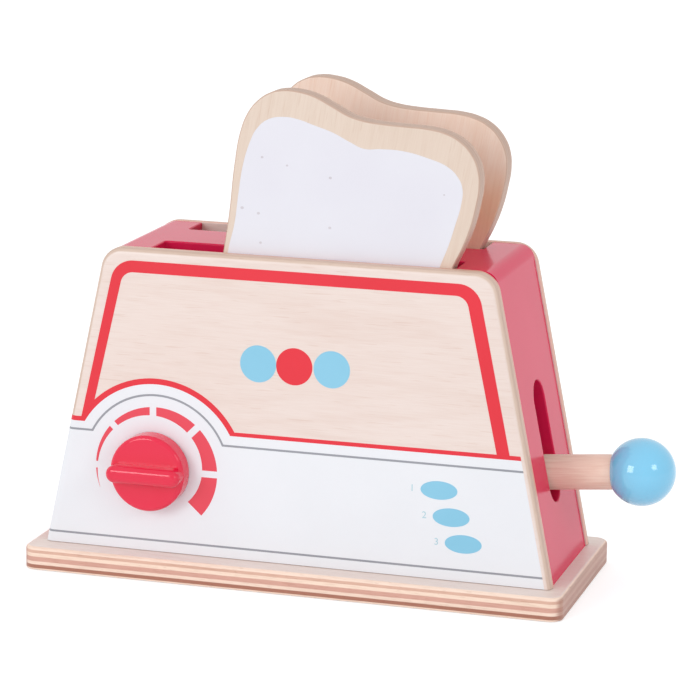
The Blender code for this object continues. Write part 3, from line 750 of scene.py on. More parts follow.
def turned(name: str, profile: list[Point], segments: int) -> bpy.types.Object:
    """A closed profile turned about Z, like a piece from a lathe.

    Args:
        name: The object's name.
        profile: Points as radius and height, both ends on the axis.
        segments: Sides round it.

    Returns:
        The linked object, about its own axis.
    """
    mesh = bpy.data.meshes.new(name)
    mesh.from_pydata([(x, 0, z) for x, z in profile],
                     [(index, index + 1) for index in range(len(profile) - 1)], [])
    rod = from_mesh(name, mesh)
    lathe = rod.modifiers.new("turned", "SCREW")
    lathe.axis, lathe.steps, lathe.render_steps = "Z", segments, segments
    lathe.use_merge_vertices, lathe.merge_threshold = True, MERGE_DISTANCE / 4
    piece = from_evaluated(rod, name)
    build = bmesh.new()
    build.from_mesh(piece.data)
    bmesh.ops.remove_doubles(build, verts=build.verts, dist=MERGE_DISTANCE / 4)
    bmesh.ops.recalc_face_normals(build, faces=build.faces)
    build.to_mesh(piece.data)
    build.free()
    return piece


def round_rims(piece: bpy.types.Object, radius: float, segments: int,
               choose: Callable[[Vector, Vector], bool]) -> bpy.types.Object:
    """Round the edges that a test picks.

    Args:
        piece: The object, its place already in its mesh.
        radius: The round's radius.
        segments: Faces across the round.
        choose: Says for an edge's two ends whether it is rounded.

    Returns:
        A new object with the rounded mesh.
    """
    build = bmesh.new()
    build.from_mesh(piece.data)
    weight = build.edges.layers.float.new("bevel_weight_edge")
    for edge in build.edges:
        if (len(edge.link_faces) == 2 and edge.calc_face_angle() > SMOOTH_ANGLE
                and choose(*(vert.co for vert in edge.verts))):
            edge[weight] = 1.0
    build.to_mesh(piece.data)
    build.free()
    bevel = piece.modifiers.new("rounded", "BEVEL")
    bevel.limit_method = "WEIGHT"
    bevel.width, bevel.segments, bevel.use_clamp_overlap = radius, segments, False
    rounded_piece = from_evaluated(piece, piece.name)
    old = rounded_piece.data.attributes.get("bevel_weight_edge")
    if old is not None:
        rounded_piece.data.attributes.remove(old)
    return rounded_piece


def boolean(piece: bpy.types.Object, tool: bpy.types.Object,
            operation: str = "DIFFERENCE") -> bpy.types.Object:
    """Cut a tool's shape out of a piece, or join it on, and remove the tool.

    Args:
        piece: The object that stays.
        tool: The object that is used up.
        operation: DIFFERENCE or UNION.

    Returns:
        A new object with the result.
    """
    modifier = piece.modifiers.new("shape", "BOOLEAN")
    modifier.operation, modifier.solver, modifier.object = operation, "EXACT", tool
    result = from_evaluated(piece, piece.name)
    bpy.data.objects.remove(tool, do_unlink=True)
    return result


def polish(piece: bpy.types.Object) -> bpy.types.Object:
    """Shade round faces smooth and keep flat ones flat.

    Args:
        piece: The object.

    Returns:
        A new object whose normals follow its large faces.
    """
    piece.data.shade_smooth()
    piece.data.set_sharp_from_angle(angle=SMOOTH_ANGLE)
    normals = piece.modifiers.new("normals", "WEIGHTED_NORMAL")
    normals.keep_sharp = True
    return from_evaluated(piece, piece.name)


def upright(x: float, y: float, z: float) -> Matrix:
    """Stand an XY outline up in the XZ plane, its +Z side towards -Y."""
    return Matrix.Translation((x, y, z)) @ Matrix.Rotation(math.pi / 2, 4, "X")


def along(point: Place | Vector, direction: Place | Vector) -> Matrix:
    """Take +Z to a direction and the origin to a point."""
    turn = Vector((0, 0, 1)).rotation_difference(Vector(direction))
    return Matrix.Translation(point) @ turn.to_matrix().to_4x4()


class Workshop:
    """Finishes pieces: puts on their material, rides them and reports them."""

    def __init__(self) -> None:
        """Build the shared groups; materials are made when first asked for."""
        self.groups = Groups()
        self.made: dict[str, bpy.types.Material] = {}

    def coat(self, finish: Finish) -> bpy.types.Material:
        """The material of a finish, built once."""
        if finish.name not in self.made:
            self.made[finish.name] = finish.material(self.groups)
        return self.made[finish.name]

    def deliver(self, piece: bpy.types.Object, finish: Finish, body: Body,
                stands_for: tuple[str, ...] = ()) -> bpy.types.Object:
        """Dress a finished piece and hand it to the frame.

        Args:
            piece: The object, at the origin.
            finish: Its finish.
            body: The body that carries it.
            stands_for: CAD nodes that it replaces.

        Returns:
            The same object.
        """
        piece.data.materials.clear()
        piece.data.materials.append(self.coat(finish))
        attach(piece, body.value)
        if stands_for:
            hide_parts(*stands_for)
        LOG.info("%s: %d faces on %s", piece.name, len(piece.data.polygons), body.value)
        return piece

    def dress_node(self, node: str, finish: Finish) -> None:
        """Give a CAD node a better material."""
        item = frame["nodes"][node]
        for place in item.material_slots:
            place.material = self.coat(finish)
        LOG.info("%s: CAD node dressed", node)


# Finishes of this toy

END_BROWN = srgb(180, 132, 116)
STREAK_TINT = (0.62, 0.50, 0.44, 1.0)
BIRCH_LIGHT = srgb(238, 223, 216)
BIRCH_DARK = srgb(222, 196, 184)
PALE_PLY = srgb(250, 224, 206)
# Plies from the outer face inwards. The last is the inner face veneer: its pale pink is partly its
# own tone and partly a painted edge highlight tinted by the red shell beside it.
PANEL_PLIES = (
    (0.25, srgb(230, 211, 200)), (0.65, srgb(219, 195, 179)), (1.20, srgb(210, 183, 167)),
    (1.30, srgb(222, 188, 170)), (0.40, srgb(196, 150, 132)), (1.20, srgb(238, 182, 164)))
TOAST_PLIES = (
    (1.5, srgb(204, 174, 156)), (0.4, srgb(182, 152, 136)), (2.3, srgb(200, 170, 152)),
    (0.4, srgb(182, 150, 134)), (2.0, srgb(202, 172, 154)), (1.4, srgb(206, 178, 160)))
BASE_FINISH = WoodFinish(
    "birch_base", roughness=0.42, bump=0.2, light=BIRCH_LIGHT, dark=BIRCH_DARK,
    figure=0.22, fibres=0.32, ply_axis="Z", ply_start=0.009, end_brown=0.8, streaks=0.5,
    plies=((1.27, PALE_PLY), (1.13, srgb(224, 182, 162)), (1.45, srgb(252, 226, 206)),
           (1.76, srgb(217, 167, 151)), (1.27, PALE_PLY), (1.40, srgb(172, 116, 96)),
           (0.70, PALE_PLY)))
PANEL_FRONT_FINISH = WoodFinish(
    "birch_front", roughness=0.40, bump=0.2, light=BIRCH_LIGHT, dark=BIRCH_DARK,
    figure=0.30, fibres=0.35, shift=(0.31, 0.0, 0.17), plies=PANEL_PLIES, ply_axis="Y",
    ply_start=-0.0335, ply_down=False, ply_soft=0.022)
PANEL_REAR_FINISH = WoodFinish(
    "birch_rear", roughness=0.40, bump=0.2, light=BIRCH_LIGHT, dark=BIRCH_DARK,
    figure=0.4, fibres=0.35, shift=(0.83, 0.0, 0.41), plies=PANEL_PLIES, ply_axis="Y",
    ply_start=0.0335, ply_soft=0.022)
INNER_PLY_FINISH = WoodFinish(
    "birch_inner", roughness=0.5, bump=0.3, light=BIRCH_LIGHT, dark=BIRCH_DARK,
    figure=0.4, fibres=0.5)
DOWEL_FINISH = WoodFinish(
    "beech_dowel", roughness=0.45, bump=0.25, light=srgb(246, 222, 205), dark=srgb(224, 184, 164),
    figure=0.2, fibres=0.65, turn=(0.0, math.radians(5.1), 0.0))
CROSS_DOWEL_FINISH = WoodFinish(
    "beech_cross_dowel", roughness=0.45, bump=0.25, light=srgb(244, 219, 196),
    dark=srgb(222, 184, 152), figure=0.2, fibres=0.7, turn=(0.0, 0.0, math.radians(90)))
FRONT_TOAST_FINISH = WoodFinish(
    "toast_ply_front", roughness=0.5, bump=0.25, light=srgb(227, 209, 194),
    dark=srgb(211, 186, 167), figure=0.25, fibres=0.4, turn=(0.0, math.radians(80.5), 0.0),
    shift=(0.2, 0.0, 0.0), plies=TOAST_PLIES, ply_axis="Y", ply_start=-0.0282, ply_down=False)
# The same plywood as the front slice, its colours made lighter as painted light that lifts it out of
# the front slice's shade.
REAR_TOAST_FINISH = WoodFinish(
    "toast_ply_rear_painted_light", roughness=0.5, bump=0.25, light=srgb(245, 225, 210),
    dark=srgb(232, 198, 174), figure=0.35, fibres=0.45, turn=(0.0, math.radians(80.5), 0.0),
    shift=(0.6, 0.0, 0.3), plies=TOAST_PLIES, ply_axis="Y", ply_start=0.0133, ply_down=False,
    # Painted shade on the slice's right part, tinted warm like red light bounced from the shell.
    cloud=((0.060, 0.0133, 0.135), 0.030, (0.86, 0.68, 0.55, 1.0)))
RED_LACQUER = PaintFinish(
    "red_lacquer", roughness=0.16, bump=0.05, specular=0.14,
    colour=(0.73, 0.015, 0.085, 1.0), shade=(0.70, 0.013, 0.078, 1.0), grain=260.0)
KNOB_RED = PaintFinish(
    "knob_red", roughness=0.10, coat=0.4, coat_roughness=0.04, bump=0.03, specular=0.30,
    colour=(0.82, 0.012, 0.060, 1.0), shade=(0.79, 0.010, 0.054, 1.0), grain=300.0)
BALL_BLUE = PaintFinish(
    "ball_blue", roughness=0.12, coat=0.5, coat_roughness=0.05, bump=0.03,
    colour=srgb(128, 206, 242), shade=srgb(121, 200, 238), grain=260.0)
PRINT_WHITE = PaintFinish(
    "print_white", roughness=0.38, bump=0.10, colour=srgb(237, 239, 244),
    shade=srgb(234, 236, 241), grain=700.0)
SLICE_WHITE = PaintFinish(
    "print_slice_white", roughness=0.45, bump=0.08, colour=srgb(229, 229, 237),
    shade=srgb(226, 225, 234), grain=700.0)
PRINT_RED = PaintFinish(
    "print_red", roughness=0.36, bump=0.10, colour=srgb(230, 38, 56), shade=srgb(225, 35, 52),
    grain=700.0)
PRINT_SCALE_RED = PaintFinish(
    "print_scale_red", roughness=0.36, bump=0.10, colour=srgb(232, 70, 88),
    shade=srgb(227, 66, 84), grain=700.0)
PRINT_BLUE = PaintFinish(
    "print_blue", roughness=0.38, bump=0.10, colour=srgb(140, 203, 230),
    shade=srgb(134, 198, 226), grain=700.0)
PRINT_PALE_BLUE = PaintFinish(
    "print_pale_blue", roughness=0.38, bump=0.08, colour=srgb(176, 212, 222),
    shade=srgb(170, 207, 218), grain=700.0)
PRINT_GREY = PaintFinish(
    "print_grey", roughness=0.38, bump=0.08, colour=srgb(154, 156, 164),
    shade=srgb(148, 150, 158), grain=700.0)
CRUMB_GREY = PaintFinish(
    "crumb_grey", roughness=0.45, bump=0.08, colour=srgb(212, 207, 214),
    shade=srgb(204, 198, 206), grain=900.0)
STEEL = SteelFinish("zinc_steel", roughness=0.32, bump=0.15)


# Geometry trees

class GrowthTree:
    """A geometry node tree that turns points into finished pieces."""

    def __init__(self, name: str, inputs: dict[str, object]) -> None:
        """Start the tree with its named inputs; a None default stands for a material."""
        self.tree = bpy.data.node_groups.new(name, "GeometryNodeTree")
        self.tree.interface.new_socket("Geometry", in_out="OUTPUT",
                                       socket_type="NodeSocketGeometry")
        self.identifiers: dict[str, str] = {}
        self.tree.interface.new_socket("Geometry", in_out="INPUT",
                                       socket_type="NodeSocketGeometry")
        for label, default in inputs.items():
            kind = ("NodeSocketMaterial" if default is None else
                    "NodeSocketInt" if isinstance(default, int) else "NodeSocketFloat")
            socket = self.tree.interface.new_socket(label, in_out="INPUT", socket_type=kind)
            if default is not None:
                socket.default_value = default
            self.identifiers[label] = socket.identifier
        self.kit = Shader(self.tree)
        self.given = self.kit.add("NodeGroupInput").outputs

    def vector(self, x: object = 0.0, y: object = 0.0, z: object = 0.0) -> bpy.types.NodeSocket:
        """Put three numbers or sockets together."""
        node = self.kit.add("ShaderNodeCombineXYZ")
        for target, value in zip(node.inputs, (x, y, z)):
            self.kit.feed(target, value)
        return node.outputs[0]

    def node(self, kind: str, values: dict[str, object],
             **settings: object) -> bpy.types.NodeSocket:
        """Add a node, feed its named inputs and give its first output.

        Args:
            kind: The node's type name.
            values: Inputs by name.
            **settings: Properties to set on it.

        Returns:
            Its first output.
        """
        made = self.kit.add(kind, **settings)
        for label, value in values.items():
            self.kit.feed(made.inputs[label], value)
        return made.outputs[0]

    def finish(self, geometry: bpy.types.NodeSocket) -> None:
        """End the tree: real geometry with its material."""
        real = self.node("GeometryNodeRealizeInstances", {"Geometry": geometry})
        dressed = self.node("GeometryNodeSetMaterial",
                            {"Geometry": real, "Material": self.given["Material"]})
        self.kit.feed(self.kit.add("NodeGroupOutput").inputs["Geometry"], dressed)

    def grow(self, name: str, points: list[Place], values: dict[str, object],
             matrix: Matrix | None = None) -> bpy.types.Object:
        """Grow the tree on some points and take the result up as a plain mesh.

        Args:
            name: The piece's name.
            points: Where its copies go.
            values: The tree's named inputs.
            matrix: A place put into the finished mesh.

        Returns:
            The piece, at the origin.
        """
        mesh = bpy.data.meshes.new(name)
        mesh.from_pydata(points, [], [])
        seeds = from_mesh(name, mesh)
        modifier = seeds.modifiers.new("grown", "NODES")
        modifier.node_group = self.tree
        for label, value in values.items():
            modifier[self.identifiers[label]] = value
        return from_evaluated(seeds, name, matrix)


class StampTree(GrowthTree):
    """Round or oval films, one at each point, facing the front."""

    def __init__(self) -> None:
        """Build the tree."""
        super().__init__("stamps", {"Width": 0.01, "Height": 0.01, "Proud": 0.00005,
                                    "Spread": 0.0, "Seed": 7, "Material": None})
        film = self.node("GeometryNodeMeshCylinder",
                         {"Vertices": 64, "Radius": 0.5, "Depth": 1.0})
        thickness = self.kit.math("MULTIPLY", self.given["Proud"], 2.0)
        shaped = self.node("GeometryNodeTransform", {
            "Geometry": film, "Rotation": (math.pi / 2, 0, 0),
            "Scale": self.vector(self.given["Width"], self.given["Height"], thickness)})
        low = self.kit.math("SUBTRACT", 1.0, self.given["Spread"])
        high = self.kit.math("ADD", 1.0, self.given["Spread"])
        chance = self.kit.add("FunctionNodeRandomValue", data_type="FLOAT")
        for index, value in ((2, low), (3, high), (8, self.given["Seed"])):
            self.kit.feed(chance.inputs[index], value)
        size = chance.outputs[1]
        self.finish(self.node("GeometryNodeInstanceOnPoints", {
            "Points": self.given["Geometry"], "Instance": shaped,
            "Scale": self.vector(size, 1.0, size)}))


class ScaleTree(GrowthTree):
    """A tapering ring cut by slits that point at the dial's axis."""

    def __init__(self) -> None:
        """Build the tree."""
        super().__init__("tapering_scale", {
            "Radius": 0.024, "First": 0.007, "Start": -0.7, "Sweep": 4.2, "Slit Width": 0.0026,
            "Slit X": 0.0, "Slit Y": 0.0, "Proud": 0.00005, "Steps": 240, "Slits": 5,
            "Material": None})
        kit, given = self.kit, self.given
        strip = self.node("GeometryNodeMeshGrid", {
            "Size X": 1.0, "Size Y": 1.0, "Vertices X": given["Steps"], "Vertices Y": 2})
        index = self.node("GeometryNodeInputIndex", {})
        column = kit.math("FLOOR", kit.math("DIVIDE", index, 2.0))
        row = kit.math("MODULO", index, 2.0)
        share = kit.math("DIVIDE", column, kit.math("SUBTRACT", given["Steps"], 1.0))
        angle = kit.math("ADD", given["Start"], kit.math("MULTIPLY", given["Sweep"], share))
        thick = kit.math("MULTIPLY", given["First"], kit.math("SUBTRACT", 1.01, share))
        radius = kit.math("SUBTRACT", given["Radius"], kit.math("MULTIPLY", row, thick))
        ring = self.node("GeometryNodeSetPosition", {
            "Geometry": strip, "Position": self.vector(
                kit.math("MULTIPLY", radius, kit.math("COSINE", angle)),
                kit.math("MULTIPLY", radius, kit.math("SINE", angle)),
                kit.math("MULTIPLY", given["Proud"], -1.0))})
        raised = kit.add("GeometryNodeExtrudeMesh")
        for label, value in (("Mesh", ring), ("Offset", self.vector(0.0, 0.0, 1.0)),
                             ("Offset Scale", kit.math("MULTIPLY", given["Proud"], 2.0)),
                             ("Individual", False)):
            kit.feed(raised.inputs[label], value)
        both = kit.add("GeometryNodeJoinGeometry")
        self.tree.links.new(raised.outputs[0], both.inputs[0])
        self.tree.links.new(self.node("GeometryNodeFlipFaces", {"Mesh": ring}), both.inputs[0])
        closed = self.node("GeometryNodeMergeByDistance",
                           {"Geometry": both.outputs[0], "Distance": MERGE_DISTANCE / 4})
        bar = self.node("GeometryNodeMeshCube", {"Size": self.vector(
            kit.math("MULTIPLY", given["Radius"], 1.5), given["Slit Width"],
            kit.math("MULTIPLY", given["Proud"], 8.0))})
        bar = self.node("GeometryNodeTransform", {"Geometry": bar, "Translation": self.vector(
            kit.math("MULTIPLY", given["Radius"], 0.9))})
        spots = self.node("GeometryNodeMeshLine", {"Count": given["Slits"], "Offset": (0, 0, 0)})
        turn = kit.math("MULTIPLY", self.node("GeometryNodeInputIndex", {}), math.pi / 4)
        bars = self.node("GeometryNodeInstanceOnPoints", {
            "Points": spots, "Instance": bar, "Rotation": self.vector(0.0, 0.0, turn)})
        bars = self.node("GeometryNodeTransform", {
            "Geometry": bars, "Translation": self.vector(given["Slit X"], given["Slit Y"])})
        bars = self.node("GeometryNodeRealizeInstances", {"Geometry": bars})
        cut = kit.add("GeometryNodeMeshBoolean", operation="DIFFERENCE")
        self.tree.links.new(closed, cut.inputs[0])
        self.tree.links.new(bars, cut.inputs[1])
        self.finish(cut.outputs[0])


class ScrewTree(GrowthTree):
    """Countersunk cross-head screws driven upwards, one at each point."""

    def __init__(self) -> None:
        """Build the tree."""
        super().__init__("cross_screws", {
            "Head": 0.007, "Sink": 0.0022, "Shank": 0.0035, "Length": 0.022, "Cross": 0.0038,
            "Blade": 0.0008, "Material": None})
        kit, given = self.kit, self.given
        head = self.node("GeometryNodeMeshCone", {
            "Vertices": 40, "Radius Top": kit.math("DIVIDE", given["Shank"], 2.0),
            "Radius Bottom": kit.math("DIVIDE", given["Head"], 2.0), "Depth": given["Sink"]})
        cut = kit.add("GeometryNodeMeshBoolean", operation="DIFFERENCE")
        self.tree.links.new(head, cut.inputs[0])
        for first, second in (("Cross", "Blade"), ("Blade", "Cross")):
            blade = self.node("GeometryNodeMeshCube", {"Size": self.vector(
                given[first], given[second], kit.math("MULTIPLY", given["Sink"], 1.1))})
            self.tree.links.new(blade, cut.inputs[1])
        rest = kit.math("SUBTRACT", given["Length"], given["Sink"])
        shank = self.node("GeometryNodeMeshCone", {
            "Vertices": 24, "Radius Top": 0.0003,
            "Radius Bottom": kit.math("DIVIDE", given["Shank"], 2.0), "Depth": rest})
        shank = self.node("GeometryNodeTransform", {
            "Geometry": shank, "Translation": self.vector(0.0, 0.0, given["Sink"])})
        both = kit.add("GeometryNodeJoinGeometry")
        self.tree.links.new(cut.outputs[0], both.inputs[0])
        self.tree.links.new(shank, both.inputs[0])
        self.finish(self.node("GeometryNodeInstanceOnPoints", {
            "Points": given["Geometry"], "Instance": both.outputs[0]}))


class GrowthTrees:
    """The geometry trees, each built once."""

    def __init__(self) -> None:
        """Build all three."""
        self.stamps = StampTree()
        self.scale = ScaleTree()
        self.screws = ScrewTree()


# The toy's shared sizes

@dataclass(frozen=True)
class Housing:
    """Outer sizes that several pieces share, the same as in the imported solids."""

    base_length: float = 0.2096
    base_width: float = 0.0856
    base_thickness: float = 0.009
    panel_foot: float = 0.198
    panel_head: float = 0.1496
    panel_height: float = 0.116
    panel_thickness: float = 0.005
    panel_radius: float = 0.009
    depth: float = 0.067
    board: float = 0.009
    left_inset: float = 0.0020
    right_inset: float = 0.0007
    top_inset: float = 0.0002
    middle_rail: float = 0.026
    slot_length: float = 0.1166
    slot_middle: float = 0.0005
    pivot_x: float = 0.057
    pivot_height: float = 0.0417

    @property
    def slope(self) -> float:
        """How far a side leans in for each metre of height."""
        return (self.panel_foot - self.panel_head) / 2 / self.panel_height

    @property
    def angle(self) -> float:
        """The sides' lean from upright."""
        return math.atan(self.slope)

    @property
    def panel_top(self) -> float:
        """Height of the panels' upper edge."""
        return self.base_thickness + self.panel_height

    @property
    def shell_top(self) -> float:
        """Height of the red top board's face."""
        return self.panel_top - self.top_inset

    @property
    def board_span(self) -> float:
        """The side boards' thickness, measured level."""
        return self.board / math.cos(self.angle)

    @property
    def front(self) -> float:
        """Y of the front panel's face."""
        return -self.depth / 2

    def panel_half(self, height: float) -> float:
        """Half width of the panels at a height."""
        return self.panel_foot / 2 - self.slope * (height - self.base_thickness)

    def shell_half(self, height: float, side: int) -> float:
        """Half width of the red shell at a height, on its left (-1) or right (1) side."""
        return self.panel_half(height) - (self.right_inset if side > 0 else self.left_inset)


@dataclass
class BaseBoard:
    """The plywood board that everything stands on."""

    house: Housing
    corner: float = 0.005
    top_round: float = 0.0015
    under_round: float = 0.0004
    sink_diameter: float = 0.0082
    sink_depth: float = 0.0028

    def build(self, shop: Workshop, screws: list[Point]) -> None:
        """Make and dress the board.

        Args:
            shop: The workshop.
            screws: Where screws are sunk into its underside.
        """
        house = self.house
        board = slab("base", [rectangle(house.base_length, house.base_width, self.corner)],
                     house.base_thickness, Matrix.Translation((0, 0, house.base_thickness / 2)))
        board = round_rims(board, self.top_round, 5, lambda a, b: min(a.z, b.z) > MERGE_DISTANCE)
        board = round_rims(board, self.under_round, 2, lambda a, b: max(a.z, b.z) < MERGE_DISTANCE)
        for index, (x, y) in enumerate(screws):
            sink = cylinder(f"sink_{index}", self.sink_diameter, 2 * self.sink_depth,
                            Matrix.Translation((x, y, 0)), 32)
            board = boolean(board, sink)
        shop.deliver(polish(board), BASE_FINISH, Body.TOASTER, ("base_board",))


@dataclass
class Panels:
    """The front and rear plywood panels."""

    house: Housing
    foot_gap: float = 0.00018
    rim: float = 0.0023
    inner_rim: float = 0.0005
    rim_steps: int = 6
    bore: float = 0.0044
    sink_diameter: float = 0.0078
    sink_depth: float = 0.0028

    def outline(self) -> list[Point]:
        """The panels' trapezium in XZ."""
        house = self.house
        low = house.base_thickness + self.foot_gap
        foot, head = house.panel_half(low), house.panel_head / 2
        return rounded([
            (-foot, low, 0), (foot, low, 0),
            (head, house.panel_top, house.panel_radius),
            (-head, house.panel_top, house.panel_radius)])

    def panel(self, name: str, side: int) -> bpy.types.Object:
        """One panel.

        Args:
            name: Its name.
            side: -1 for the front one and 1 for the rear one.

        Returns:
            The panel with both rims rounded.
        """
        house = self.house
        face = side * house.depth / 2
        back = face - side * house.panel_thickness
        foot = house.base_thickness + self.foot_gap + MERGE_DISTANCE
        piece = slab(name, [self.outline()], house.panel_thickness,
                     upright(0, (face + back) / 2, 0))
        for plane, radius, steps in ((face, self.rim, self.rim_steps),
                                     (back, self.inner_rim, 2)):
            piece = round_rims(piece, radius, steps, lambda a, b, y=plane: (
                max(abs(a.y - y), abs(b.y - y)) < MERGE_DISTANCE and max(a.z, b.z) > foot))
        return piece

    def build(self, shop: Workshop, dial: Point) -> None:
        """Make and dress both panels.

        Args:
            shop: The workshop.
            dial: Where the dial's axis goes through the front one, in XZ.
        """
        house = self.house
        front = self.panel("front_board", -1)
        inner = house.front + house.panel_thickness
        for width, reach, y in ((self.bore, 2 * house.panel_thickness, house.front),
                                (self.sink_diameter, 2 * self.sink_depth, inner)):
            front = boolean(front, cylinder("dial_bore", width, reach,
                                            along((dial[0], y, dial[1]), (0, 1, 0)), 32))
        shop.deliver(polish(front), PANEL_FRONT_FINISH, Body.TOASTER,
                     ("front_panel",))
        shop.deliver(polish(self.panel("rear_board", 1)), PANEL_REAR_FINISH,
                     Body.TOASTER, ("rear_panel",))


@dataclass
class RedShell:
    """The lacquered top and side boards between the panels."""

    house: Housing
    gap: float = 0.00004
    slot_corner: float = 0.0012
    soft_edge: float = 0.0006
    lever_slot_width: float = 0.0154
    lever_slot_length: float = 0.0465
    lever_slot_height: float = 0.0565

    @property
    def half_depth(self) -> float:
        """Half of the boards' width between the panels."""
        return self.house.depth / 2 - self.house.panel_thickness - self.gap

    @property
    def underside(self) -> float:
        """Height of the top board's lower face."""
        return self.house.shell_top - self.house.board

    def top(self) -> bpy.types.Object:
        """The top board with an open notch for each slice."""
        house = self.house
        radius = house.panel_radius - house.right_inset
        corners = [(side * house.shell_half(height, side), height, corner)
                   for side, height, corner in (
                       (-1, self.underside, 0), (1, self.underside, 0),
                       (1, house.shell_top, radius), (-1, house.shell_top, radius))]
        board = slab("shell_top", [rounded(corners)], 2 * self.half_depth, upright(0, 0, 0))
        rail = house.middle_rail / 2
        width = 2 * (self.half_depth - rail + CUT_OVERRUN)
        for side in (-1, 1):
            middle = (house.slot_middle, side * (rail + width / 2),
                      house.shell_top - house.board / 2)
            notch = slab("notch", [rectangle(house.slot_length, width, self.slot_corner)],
                         house.board + 2 * CUT_OVERRUN, Matrix.Translation(middle))
            board = boolean(board, notch)
        reach = house.slot_length / 2 + MERGE_DISTANCE

        def notch_rim(a: Vector, b: Vector) -> bool:
            """Whether an edge is on the upper rim of a notch."""
            return (min(a.z, b.z) > house.shell_top - MERGE_DISTANCE
                    and max(abs(a.x - house.slot_middle), abs(b.x - house.slot_middle)) < reach
                    and min(abs(a.y), abs(b.y)) > rail - MERGE_DISTANCE)

        return round_rims(board, self.soft_edge, 3, notch_rim)

    def side(self, name: str, side: int) -> bpy.types.Object:
        """A slanted side board.

        Args:
            name: Its name.
            side: -1 for the left one and 1 for the right one.

        Returns:
            The board, without its slot.
        """
        house = self.house
        foot = house.shell_half(house.base_thickness, side)
        head = house.shell_half(self.underside, side)
        corners = [(side * (foot - house.board_span), house.base_thickness),
                   (side * foot, house.base_thickness), (side * head, self.underside),
                   (side * (head - house.board_span), self.underside)]
        return slab(name, [corners], 2 * self.half_depth, upright(0, 0, 0))

    def slotted(self, board: bpy.types.Object) -> bpy.types.Object:
        """Cut the lever's slot square to the slanted board and soften its rim."""
        house = self.house
        lean = house.angle
        up = Vector((-math.sin(lean), 0, math.cos(lean)))
        out = Vector((math.cos(lean), 0, math.sin(lean)))
        turn = Matrix((up, out.cross(up), out)).transposed().to_4x4()
        middle = Vector((house.shell_half(self.lever_slot_height, 1), 0, self.lever_slot_height))
        cutter = slab("lever_slot", [rectangle(self.lever_slot_length, self.lever_slot_width,
                                               self.lever_slot_width / 2)],
                      2 * (house.board + CUT_OVERRUN), Matrix.Translation(middle) @ turn)
        board = boolean(board, cutter)

        def slot_rim(a: Vector, b: Vector) -> bool:
            """Whether an edge is on the slot's outer rim."""
            return all(abs((point - middle).dot(out)) < MERGE_DISTANCE
                       and abs((point - middle).dot(up)) < self.lever_slot_length / 2
                       + MERGE_DISTANCE and abs(point.y) < self.lever_slot_width for point in (a, b))

        return round_rims(board, self.soft_edge, 3, slot_rim)

    def build(self, shop: Workshop) -> None:
        """Make and dress the three boards."""
        right = self.slotted(self.side("shell_right", 1))
        for piece, node in ((self.top(), "top_board"), (right, "right_side_board"),
                            (self.side("shell_left", -1), "left_side_board")):
            shop.deliver(polish(piece), RED_LACQUER, Body.TOASTER, (node,))


# Prints

